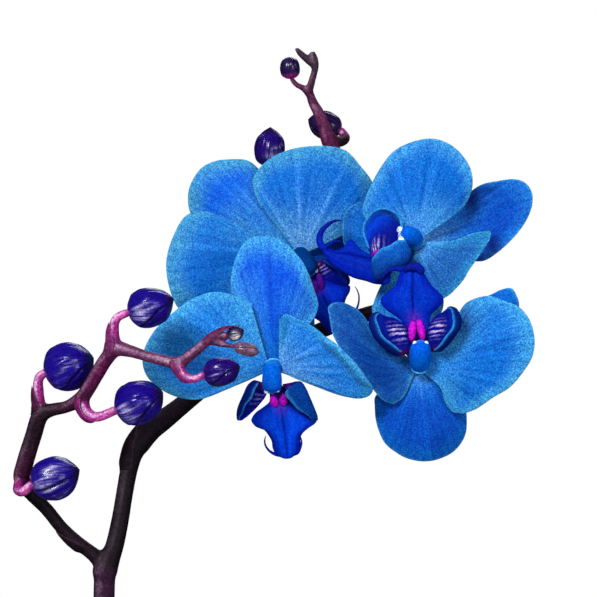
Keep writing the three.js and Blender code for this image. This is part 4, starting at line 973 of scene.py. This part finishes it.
plainBud = {"skin": "indigo", "twist": 0.5, "hook": (0, 0, 0), "blunt": 1, "bloom": 0.5, "bloomAt": -0.25,
            "glintTone": (0.40, 0.36, 0.68), "blush": -0.80, "blushSpan": 0.25, "glintPatches": ()}
# relief as shares of the radius
budForm = {"lap": 0.075, "keel": 0.055, "groove": 0.11, "ribs": 0.016, "fine": 0.006, "swell": 0.02,
           "baseRibs": 0.03, "large": (90, 132), "small": (56, 84)}


def wrapped(angle):
    return (angle + math.pi) % (2 * math.pi) - math.pi


# three sepals folded over one another: keels, grooves and ribs that run from base to tip, and the bands
# beside the grooves where highlights are painted
def budPattern(shape, s, spin, seed):
    draw = np.random.RandomState(seed)
    start, wander = shape.get("roll", draw.uniform(0, 6.28)), draw.uniform(0, 6.28, 5)
    lap, groove, keel, bloom = (0 * s * spin for _ in range(4))
    for k in range(3):
        off = wrapped(spin - start - k * 2.094 - shape["twist"] * np.sin(s * 1.5 + k))
        groove = np.maximum(groove, bell(off, 0.075))
        lap += np.where(off > 0, 1, 0) * bell(off, 0.55)
        keel = np.maximum(keel, bell(wrapped(off - 1.05), 0.34))
        bloom = np.maximum(bloom, bell(off - 0.42, 0.26))
    ribs = np.sin(spin * 19 + 2.4 * np.sin(s * 2 + wander[0]) + wander[1])
    broken = np.sin(spin * 5 + wander[2] + 2 * s) + 0.8 * np.sin(s * 7 + 3 * spin + wander[4])
    fine = np.sin(spin * 43 + 3 * np.sin(s * 3 + wander[3]))
    return SimpleNamespace(lap=lap, groove=groove, keel=keel, bloom=bloom, ribs=ribs, fine=fine,
                           broken=smooth(broken, -0.5, 0.9))


def budRelief(on, s, spin, seed):
    relief = budForm["lap"] * on.lap + budForm["keel"] * on.keel - budForm["groove"] * on.groove
    relief = relief + budForm["ribs"] * on.ribs * on.broken + budForm["fine"] * on.fine
    relief = relief + budForm["swell"] * np.sin(4 * s + 2 * spin + seed)
    return relief + budForm["baseRibs"] * bell(spin % 1.047 - 0.52, 0.3) * (1 - s)


# painted highlights in broken streaks on the keels and in patches, dark seams, a pink base and a dark tip
def budTint(shape, on, s, spin, body):
    tones = toned(budTones[shape["skin"]])
    # painted highlight: pale streaks where the lamps would glint, broken up by the ribs
    bloom = shape["bloom"] * on.bloom * bell(s - shape["bloomAt"], 0.42)
    bloom = bloom * smooth(on.ribs * 0.6 + on.fine * 0.3 + 1.2 * on.broken, 0.4, 1.3)
    tint = tones["body"] * (1 + 0.35 * on.ribs * on.broken + 0.2 * on.fine)[..., None]
    tint = wash(tint, tones["keelGlint"], np.clip(bloom, 0, 1))
    streaks = smooth(on.ribs * 0.5 + on.fine * 0.5 + on.broken, -0.5, 0.9)
    # painted highlight patches, set where the lamps glint off the bud
    for at, place, wide, reach, deep in shape["glintPatches"]:
        off = wrapped(spin - at - 0.2 * (s - place))
        tint = wash(tint, tone(*shape["glintTone"]), deep * bell(off, wide) * bell(s - place, reach) * streaks)
    tint = wash(tint, tones["seam"], 0.95 * on.groove * body)
    blush = 1 - smooth(s + 0.05 * on.ribs, shape["blush"] - shape["blushSpan"], shape["blush"])
    tint = wash(tint, tones["base"], blush + 0 * spin)
    return wash(tint, tones["tip"], smooth(s, 0.72, 0.95) + 0 * spin)


def budBody(shape, seed):
    shape = {**plainBud, **shape}
    rows, sides = budForm["large" if shape["length"] > 6 else "small"]
    line = spanned([(a, r, 0) for a, r in budProfile], np.linspace(0, 1, rows))
    s, share = line[:, :1], np.maximum(line[:, 1:2], 0)
    spin = np.linspace(0, 2 * math.pi, sides, endpoint=False)[None]
    body = smooth(s, -1, -0.7) * (1 - smooth(s, 0.86, 1.05))
    on = budPattern(shape, s, spin, seed)
    radius = share * shape["width"] * (1 + body * (budRelief(on, s, spin, seed) - 0.03))
    bent = tone(*shape["hook"]) * (smooth(s, 0.6, 1.1) ** 2)[..., None]
    run = np.where(s > 0.7, 0.7 + (s - 0.7) * shape["blunt"], s) * shape["length"]
    ring = np.stack([radius * np.cos(spin), run + 0 * spin, radius * np.sin(spin)], axis=-1)
    tint = budTint(shape, on, s, spin, body)
    ends = [ring[0].mean(0), ring[-1].mean(0)]
    return ringBody(ring[:, ::-1], ends, tint[:, ::-1]), np.repeat(bent[:, 0], sides, 0)


for seed, (name, shape) in enumerate(buds.items()):
    body, bent = budBody(shape, seed + 3)
    aim = Vector((0, 1, 0)).rotation_difference(Vector(shape["points"]).normalized()).to_matrix()
    verts = body["verts"] @ np.array(aim).T + np.array(shape["middle"])
    verts += np.vstack([bent, bent[:1], bent[-1:]])
    piece = makePiece(name + "_skin", verts, body["faces"], budSkin, body["tint"])
    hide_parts(name)
print("buds set")


# the spike: points with their radius, in the part's own axes
limbs = {
    "stem": [(0, 0, 10.2, 4.2), (0, 0, 100, 4.2), (-0.2, 0, 200, 4.2), (-0.4, 0, 256, 4.1),
        (-0.2, 0, 266, 4.1), (0, 0, 270, 4.8), (1.3, 0.5, 274, 4.4), (3.2, 1.5, 278.4, 3.6),
        (5.4, 4, 288.8, 3.4), (6.7, 6, 297.4, 3.3), (8.1, 9, 306.4, 3.4), (9.6, 12, 313.8, 4.1),
        (12, 15, 318.4, 5), (16.2, 18, 322.8, 4.6), (20.6, 22, 325.9, 4.2), (25.8, 26, 329.9, 3.8),
        (31.5, 31, 334.5, 3.6), (44.2, 40, 344.4, 3.4), (58.8, 47, 351.2, 3.4), (72.1, 50, 356.2, 3.3),
        (83, 51, 360.7, 3.3), (92.3, 51, 364.3, 3.2), (101.6, 51, 367.1, 3.2), (112.4, 50, 370.4, 3.1),
        (121.7, 50, 376.8, 3.1), (126.6, 51, 385.7, 3.1), (127.1, 52, 395, 3.1), (122.7, 52, 404.3, 3),
        (113.8, 53, 410.9, 3), (103.3, 54, 414.2, 3), (95.2, 54, 421.5, 3), (89.6, 53, 429.5, 3.1),
        (86, 52, 436.7, 3.2), (83.8, 51, 443.1, 2.6), (81.4, 50, 448.7, 2.3), (79.4, 50, 452.3, 2),
        (77.7, 49, 457, 1.6)],
    "left_branch": [(0, 0, 270.5, 3.4), (-3, 0, 274.8, 2.9), (-7.5, -1, 278.7, 2.6), (-12, -2, 281.9, 3),
        (-16.9, -3, 287.5, 2.5), (-21.6, -4, 293.6, 2.5), (-28.7, -6, 301.4, 2.7), (-30.6, -8, 305.9, 3.2),
        (-29.2, -10, 311.3, 3.3), (-25.6, -13, 322, 3.2), (-22.2, -16, 330.4, 3.2), (-18.1, -17, 332, 2.5),
        (-12.7, -19, 333.2, 2.3), (-7.2, -22, 336.1, 2.8), (-4, -25, 340, 2.7), (-0.4, -28, 345.7, 2.7),
        (3.6, -31, 351.7, 2.7), (7, -33, 355, 2.9), (12.3, -35, 354.3, 2.3), (18.3, -38, 352.6, 2),
        (24.2, -40, 351.2, 2.1), (30.1, -42, 350.2, 2.3), (35.3, -44, 353.5, 1.9), (41.1, -46, 358.2, 1.8),
        (44, -46.6, 359.6, 1.5)],
    "top_right_prong": [(77.7, 49, 456.4, 1.6), (78.9, 48, 461, 1.5), (79.9, 48, 464.6, 1.4),
        (80.3, 47, 467.3, 1.5), (79.8, 47, 469.7, 1.6), (78.9, 47, 472.4, 1.3)],
    "top_left_prong": [(80.1, 47.3, 466.9, 1.5), (77.3, 47, 469.2, 1.45), (74.7, 46.5, 471.5, 1.4),
        (72.5, 46, 473.9, 0.85)],
}
pinkStalk = [(0, "wine"), (0.22, "magenta"), (0.6, "pink"), (0.85, "blush"), (1, "pink")]
dullStalk = [(0, "plum"), (1, "mauve")]
blueStalk = [(0, "brown"), (0.4, "plum"), (1, "blue")]
budStalks = {
    "bud_1": {"from": [(-30.9, -9, 305), (-31.2, -13, 302), (-28.6, -17, 301.8)], "radii": (2.3, 1.7),
        "tones": pinkStalk},
    "bud_2": {"from": [(-22.6, -15.5, 332), (-23.4, -15.6, 339), (-23, -15.8, 344)], "radii": (2.3, 1.6),
        "tones": pinkStalk},
    "bud_3": {"from": [(-6, -22.5, 336.4), (-4.8, -24, 332.2), (-1, -26, 329.9)], "radii": (2.3, 1.7),
        "tones": pinkStalk},
    "bud_4": {"from": [(7, -33.5, 355.5), (6.4, -34, 361), (7.3, -35, 366)], "radii": (2.2, 1.5),
        "tones": pinkStalk},
    "bud_5": {"from": [(30.1, -42, 350.2), (32.4, -44.4, 346), (36, -46, 344.6)], "radii": (1.9, 1.3),
        "tones": pinkStalk},
    "bud_tip_1": {"from": [(41.5, -46, 358.4), (45, -47, 360)], "radii": (1.7, 1.5), "tones": dullStalk},
    "bud_tip_2": {"from": [(41.5, -46, 358.4), (45.6, -47.4, 357.2)], "radii": (1.4, 0.9),
        "tones": dullStalk},
    "bud_top_1": {"from": [(77.9, 49, 455.4), (75.3, 48.8, 458.2), (72.6, 48.6, 459.6)], "radii": (1.4, 1),
        "tones": dullStalk},
    "bud_top_2": {"from": [(85.6, 52, 438.2), (89.4, 55, 437), (92.6, 60, 439)], "radii": (2.6, 1.8),
        "tones": [(0, "violet"), (0.55, "brown"), (0.8, "magenta"), (1, "magenta")]},
    "bud_top_3": {"from": [(90.4, 53, 428.8), (80, 57, 423.6), (66, 59, 421.4)], "radii": (1.6, 1.2),
        "tones": dullStalk},
}
flowerStalks = {
    "front": [(50.1, 43.5, 345.2), (56, 36, 349.6), (61.6, 24, 349)],
    "back": [(74.1, 50, 357.1), (76.4, 55, 366), (77, 55, 378), (75, 50, 387.4)],
    "right": [(126.8, 51, 388), (125, 46, 392.4), (121.4, 36, 392)],
    "low": [(103.2, 51, 367.7), (110.4, 48, 361.4), (117, 36, 352.6), (119.6, 20, 348.2)],
}
flowerStalkRadii = [1.8, 1.7, 1.7, 1.9, 1.9]
bark = {
    "black": (0.007, 0.0035, 0.007), "brown": (0.014, 0.005, 0.011), "violet": (0.026, 0.007, 0.026),
    "plum": (0.05, 0.007, 0.034), "wine": (0.078, 0.006, 0.046), "mauve": (0.098, 0.022, 0.07),
    "magenta": (0.19, 0.01, 0.13), "pink": (0.29, 0.022, 0.205), "blush": (0.43, 0.07, 0.31),
    "blue": (0.02, 0.04, 0.26), "ash": (0.036, 0.018, 0.034),
}
# tones along each limb, by share of its points
limbTones = {
    "stem": [(0, "brown"), (0.1, "violet"), (0.135, "violet"), (0.16, "black"), (0.4, "black"),
        (0.62, "brown"), (0.84, "plum"), (0.9, "wine"), (0.95, "mauve"), (1, "plum")],
    "left_branch": [(0, "black"), (0.11, "brown"), (0.16, "black"), (0.26, "black"), (0.32, "plum"),
        (0.37, "brown"), (0.46, "brown"), (0.56, "plum"), (0.62, "wine"), (0.7, "wine"), (0.74, "mauve"),
        (1, "mauve")],
    "top_right_prong": [(0, "plum"), (0.5, "ash"), (1, "ash")], "top_left_prong": [(0, "ash"), (1, "ash")],
}
# scales that hug the spike at its nodes: the line they follow, its radius there, the side they sit on
bracts = [
    ([(-6.8, -22.2, 338), (-5.9, -23.4, 333.6), (-3.6, -25.2, 330.6), (-0.4, -26.4, 330)], (3, 2.3),
        (-0.75, -0.35, -0.55), [(0, "wine"), (1, "magenta")]),
    ([(4.6, -31.6, 353), (6.2, -33.6, 357), (6.3, -34, 361), (7, -34.6, 364.6)], (3.1, 2.3),
        (-0.85, -0.55, 0.1), [(0, "mauve"), (1, "magenta")]),
    ([(28.4, -41.6, 350.6), (30.8, -43.2, 348.2), (33, -44.8, 345.6), (36, -46, 344.8)], (2.6, 1.9),
        (-0.5, -0.6, -0.6), [(0, "mauve"), (1, "magenta")]),
    ([(39.6, -45.4, 357), (43, -46.4, 359.2), (46.6, -47.4, 361.2), (51, -48, 362.4)], (2.2, 1.5),
        (-0.3, -0.6, 0.7), [(0, "mauve"), (1, "wine")]),
    ([(-23.6, -15, 329.6), (-22.8, -15.5, 333), (-23.3, -15.6, 337), (-23.4, -15.7, 341)], (3.2, 2.2),
        (-0.85, -0.5, 0.1), [(0, "brown"), (1, "wine")]),
    ([(7.9, 9, 306.6), (8.8, 10.6, 310.6), (10.6, 13.4, 316), (14.4, 17, 321.4)], (3.6, 4.9),
        (-0.75, -0.6, 0.2), [(0, "black"), (1, "brown")]),
    ([(-7.5, -1, 278.7), (-10, -1.6, 280.6), (-12.6, -2.2, 283), (-16.4, -3, 287.2)], (2.9, 2.8),
        (-0.5, -0.6, -0.6), [(0, "black"), (1, "brown")]),
]
# sides of a stalk and rings for each span of its points
stalkGrid = {"limb": (20, 10), "bud": (16, 12), "flower": (16, 14)}
bractForm = {"grid": (25, 33), "wrap": 1.25, "lift": 0.10, "flare": 0.2, "half": 0.24,
             "edge": (0.030, 0.016, 0.026)}


def toneLine(stops, t):
    places = [s[0] for s in stops]
    rows = np.array([bark[s[1]] for s in stops])
    return np.stack([np.interp(t, places, rows[:, i]) for i in range(3)], axis=1)


def limbBody(points, radii, stops, sides, perSpan):
    t = np.linspace(0, 1, (len(points) - 1) * perSpan + 1)
    return tubeBody(spanned(points, t), spannedRadii(radii, t), toneLine(stops, t), sides)


def bractBody(points, radii, outward, stops):
    across, rows = bractForm["grid"]
    u, v = np.linspace(-1, 1, across)[:, None], np.linspace(0, 1, rows)[None]
    line = spanned(points, v[0])
    tangent = unit(np.gradient(line, axis=0))
    out = unit(tone(*outward) - tangent * (tangent @ tone(*outward))[:, None])
    side = np.cross(tangent, out)
    turn = u * bractForm["wrap"] * (1 - v ** 2.2) + 0.02 * u
    lift = mix(radii[0], radii[1], v) + bractForm["lift"] + bractForm["flare"] * v ** 3
    lift = lift - 0.7 * (1 - smooth(v, 0, 0.3))
    middle = line + (out * np.cos(turn)[..., None] + side * np.sin(turn)[..., None]) * lift[..., None]
    half = bractForm["half"] * np.sqrt(np.clip(1 - u ** 6, 0, 1)) * (1 - 0.7 * v ** 4) + 0.04
    edge = np.maximum(smooth(np.abs(u), 0.80, 1), smooth(v, 0.88, 1))
    near = toneLine(stops, v[0])[None]
    tint = wash(near + 0 * u[..., None], near * 1.8 + tone(*bractForm["edge"]), 0.8 * edge)
    uv = np.stack(np.broadcast_arrays(u, v), axis=-1)
    return leafBody(middle, half, tint, tint, uv)


tubes = []
for name, points in limbs.items():
    points, radii = [p[:3] for p in points], [p[3] for p in points]
    tubes.append(limbBody(points, radii, limbTones[name], *stalkGrid["limb"]))
for name, stalk in budStalks.items():
    bud = buds[name]
    end = np.array(bud["middle"], float) - unit(np.array(bud["points"], float)) * (bud["length"] - 0.3)
    points = [np.array(p, float) for p in stalk["from"]] + [end]
    radii = np.linspace(*stalk["radii"], len(points))
    tubes.append(limbBody(points, radii, stalk["tones"], *stalkGrid["bud"]))
for name, start in flowerStalks.items():
    end = np.array(flowers[name]["middle"], float) + np.array([0, 5.5, 0])
    points = [np.array(p, float) for p in start] + [end]
    tubes.append(limbBody(points, flowerStalkRadii[:len(points)], blueStalk, *stalkGrid["flower"]))
growth = {"voxel": 0.00065, "soften": 0.5, "passes": 4, "near": 5}
# painted highlight along the stalks: where a stalk's surface faces this direction it is painted paler
stalkHighlight = {"from": (-0.45, -0.85, 0.28), "start": 0.84, "full": 0.96, "strength": 0.6,
         "tone": (0.72, 0.48, 0.70)}


# grown together: remeshed as one skin that takes the tone of the nearest limb
def grownSkin(tubes):
    verts, faces, tint, _ = gather(tubes)
    near = kdtree.KDTree(len(verts))
    for i, p in enumerate(verts):
        near.insert(Vector(p * mm), i)
    near.balance()
    raw = newObject("limbs", verts, faces)
    voxel = raw.modifiers.new("grown", "REMESH")
    voxel.mode = "VOXEL"
    voxel.voxel_size = growth["voxel"]
    soften = raw.modifiers.new("soft", "SMOOTH")
    soften.factor = growth["soften"]
    soften.iterations = growth["passes"]
    grown = raw.evaluated_get(bpy.context.evaluated_depsgraph_get()).to_mesh()
    place = readOut(grown.vertices, "co", 3)
    corner = readOut(grown.loops, "vertex_index", 1, np.int32)
    turned = readOut(grown.vertex_normals, "vector", 3)
    bpy.data.objects.remove(raw)
    nearest = [near.find_n(p, growth["near"]) for p in place]
    skinTint = np.array([np.mean([tint[f[1]] for f in found], axis=0) for found in nearest])
    return {"verts": place / mm, "faces": [corner.reshape(-1, 4)], "tint": addStalkHighlight(skinTint, place, turned)}


# painted highlight: a paler line along the upper left of every stalk, on the side the light comes from
def addStalkHighlight(tint, place, turned):
    lit = smooth(turned @ unit(tone(*stalkHighlight["from"])), stalkHighlight["start"], stalkHighlight["full"])
    lit *= stalkHighlight["strength"] * (0.75 + 0.25 * uneven(place[:, 0] / mm, place[:, 2] / mm, 5, 9))
    return wash(tint, tone(*stalkHighlight["tone"]), lit * np.clip(tint.max(axis=1) / 0.22, 0.04, 1))


verts, faces, tint, uv = gather([grownSkin(tubes)] + [bractBody(*bract) for bract in bracts])
piece = makePiece("flower_stem_skin", verts, faces, stemSkin, tint)
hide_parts("flower_stem")
print("spike grown, faces:", len(piece.data.polygons))


vase = {"height": 186, "foot": 36, "belly": (50, 62), "shoulder": (31, 112), "neck": (14, 152), "lip": 19,
        "wall": 4, "base": 8, "level": 118, "rows": 90, "turns": 160, "pale": (0.80, 0.78, 0.73),
        "cloud": (0.70, 0.69, 0.66), "speck": (0.30, 0.25, 0.20), "clay": (0.46, 0.33, 0.24)}
water = {"gap": 0.3, "hole": 4.5, "rise": 0.5, "clear": (0.80, 0.92, 0.94), "bright": (0.88, 0.96, 0.97)}


def latheBody(profile, turns):
    profile = np.asarray(profile, float)
    a = np.linspace(0, 2 * math.pi, turns, endpoint=False)
    reach, height = profile[:, :1], profile[:, 1:2]
    ring = np.stack([reach * np.cos(a), reach * np.sin(a), height + 0 * a], axis=-1)
    return ring.reshape(-1, 3), [ringQuads(*ring.shape[:2])[2]]


foot, top, brim = vase["foot"], vase["height"], vase["lip"]
outside = spanned([(foot, 2, 0), (*vase["belly"], 0), (*vase["shoulder"], 0), (*vase["neck"], 0),
                   (brim, top - 1.6, 0)], np.linspace(0, 1, vase["rows"]))[:, :2]
inside = outside[outside[:, 1] > 16] - np.array([vase["wall"], 0])
rolled = [(brim - 2 + 2 * math.cos(a), top - 2 + 2 * math.sin(a)) for a in np.linspace(0, math.pi, 12)]
footEdge = [(foot - 7, 1.6), (foot - 6, 0.6), (foot - 5, 0), (foot - 1.6, 0), (foot - 0.5, 0.7)]
hollow = [(foot - 5, vase["base"]), (0.01, vase["base"])]
profile = [(0.01, 1.6)] + footEdge + outside.tolist() + rolled + inside[::-1].tolist()[2:] + hollow
vaseVerts, vaseFaces = latheBody(profile, vase["turns"])


# glaze in clouds and specks, which ends in a wavy line above the bare clay foot
def glaze():
    made, tree = newMaterial("vaseGlaze")
    place = addNode(tree, "ShaderNodeTexCoord")["Object"]
    cloud = noise(tree, place, 22, 5, 0.5)
    speck = noise(tree, place, 420, 1, 0.5)
    paint = mixColour(tree, "MIX", cloud, vase["pale"] + (1,), vase["cloud"] + (1,))
    paint = mixColour(tree, "MIX", ramp(tree, speck, 0.70, 0.78, 0, 0.5), paint, vase["speck"] + (1,))
    height = addNode(tree, "ShaderNodeSeparateXYZ", {0: place})[2]
    drop = maths(tree, "SUBTRACT", height, maths(tree, "MULTIPLY", cloud, 0.0016))
    bare = ramp(tree, drop, 0.0022, 0.0016)
    paint = mixColour(tree, "MIX", bare, paint, vase["clay"] + (1,))
    throw = bands(tree, place, "Z", 55, 1.2, 2)
    relief = maths(tree, "MULTIPLY_ADD", throw, 0.5, cloud)
    endSurface(tree, {"Base Color": paint, "Roughness": ramp(tree, bare, 0, 1, 0.16, 0.8), "Coat Weight": 0.5,
                      "Coat Roughness": 0.05, "Normal": bump(tree, relief, 0.12, 0.0008)})
    return made


piece = makePiece("vase_skin", vaseVerts, vaseFaces, glaze())
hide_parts("vase")


def waterMaterial():
    made, tree = newMaterial("clearWater")
    swell = noise(tree, addNode(tree, "ShaderNodeTexCoord")["Object"], 60, 2, 0.5)
    paint = mixColour(tree, "MIX", swell, water["clear"] + (1,), water["bright"] + (1,))
    endSurface(tree, {"Base Color": paint, "Transmission Weight": 0.9, "IOR": 1.33, "Roughness": 0.03,
                      "Normal": bump(tree, swell, 0.1, 0.001)})
    return made


level, hole = vase["level"], water["hole"]
below = inside[inside[:, 1] < level] - np.array([water["gap"], 0])
wide = below[-1, 0]
# the surface climbs a little at the wall and round the stem
surface = [(wide, level + water["rise"]), (wide - 0.8, level + 0.1), (wide - 2, level), (hole + 2, level),
           (hole + 0.8, level + 0.1), (hole, level + water["rise"])]
loop = [(hole, vase["base"] + 0.3), (foot - 5.3, vase["base"] + 0.3)] + below.tolist() + surface
waterVerts, waterFaces = latheBody(loop + loop[:1], vase["turns"])
piece = makePiece("water_skin", waterVerts, waterFaces, waterMaterial())
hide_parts("water")
print("vase and water done")


# white studio: to the camera the floor fades into the white, to other rays it is dimmer
studio = {"floor": (0.86, 0.86, 0.86), "floorPale": (0.90, 0.90, 0.895), "fade": (0.35, 1.35),
          "radius": 1700, "rings": 40, "turns": 96, "ambient": 0.40, "mirrored": 0.035}
rings = [(r, -0.02) for r in np.linspace(0.001, studio["radius"], studio["rings"])]
floorVerts, floorFaces = latheBody(rings, studio["turns"])
floor = newObject("floor", floorVerts, floorFaces)
floorMaterial, tree = newMaterial("floorPaint")
place = addNode(tree, "ShaderNodeTexCoord")["Object"]
far = addNode(tree, "ShaderNodeVectorMath", {0: place}, operation="LENGTH")[1]
cloud = noise(tree, place, 3, 3, 0.5)
paint = mixColour(tree, "MIX", cloud, studio["floor"] + (1,), studio["floorPale"] + (1,))
plain = addNode(tree, "ShaderNodeBsdfDiffuse", {"Color": paint})
glow = addNode(tree, "ShaderNodeEmission", {"Color": (1, 1, 1, 1), "Strength": 1})
blend = addNode(tree, "ShaderNodeMixShader", {0: ramp(tree, far, *studio["fade"]), 1: plain[0], 2: glow[0]})
ray = addNode(tree, "ShaderNodeLightPath")
shade = ramp(tree, ray["Is Glossy Ray"], 0, 1, 0.34, 0.05)
dull = addNode(tree, "ShaderNodeBsdfDiffuse", {"Color": mixColour(tree, "MULTIPLY", 1, paint, shade)})
shown = addNode(tree, "ShaderNodeMixShader", {0: ray["Is Camera Ray"], 1: dull[0], 2: blend[0]})
addNode(tree, "ShaderNodeOutputMaterial", {"Surface": shown[0]})
floor.data.materials.append(floorMaterial)

world = bpy.data.worlds.new("studio")
world.use_nodes = True
tree = world.node_tree
tree.nodes.clear()
ray = addNode(tree, "ShaderNodeLightPath")
seen = ramp(tree, ray["Is Camera Ray"], 0, 1, studio["ambient"], 1)
dimmed = ramp(tree, ray["Is Glossy Ray"], 0, 1, 1, studio["mirrored"] / studio["ambient"])
strength = maths(tree, "MULTIPLY", seen, dimmed)
sky = addNode(tree, "ShaderNodeBackground", {"Color": (1, 1, 1, 1), "Strength": strength})
addNode(tree, "ShaderNodeOutputWorld", {"Surface": sky[0]})
scene.world = world

lamps = {
    "key": {"place": (-0.60, -1.35, 1.25), "size": (0.55, 0.45), "power": 31},
    "fill": {"place": (0.9, -1.3, 0.45), "size": (0.7, 0.7), "power": 8},
    "rim": {"place": (0.3, 1.1, 1.3), "size": (1.0, 0.5), "power": 6},
}
lampAim = Vector((0.07, 0, 0.37))
for name, lamp in lamps.items():
    data = bpy.data.lights.new(name, "AREA")
    data.shape = "RECTANGLE"
    data.size, data.size_y = lamp["size"]
    data.energy = lamp["power"]
    made = bpy.data.objects.new(name, data)
    made.location = lamp["place"]
    made.rotation_euler = (lampAim - made.location).to_track_quat("-Z", "Y").to_euler()
    scene.collection.objects.link(made)

view = bpy.data.cameras.new("camera")
view.lens = 127
view.sensor_width = 36
view.clip_end = 50
camera = bpy.data.objects.new("camera", view)
camera.location = (0.0735, -0.8, 0.3734)
camera.rotation_euler = (math.pi / 2, 0, 0)
scene.collection.objects.link(camera)
scene.camera = camera
scene.view_settings.view_transform = "Standard"
print("stage set")
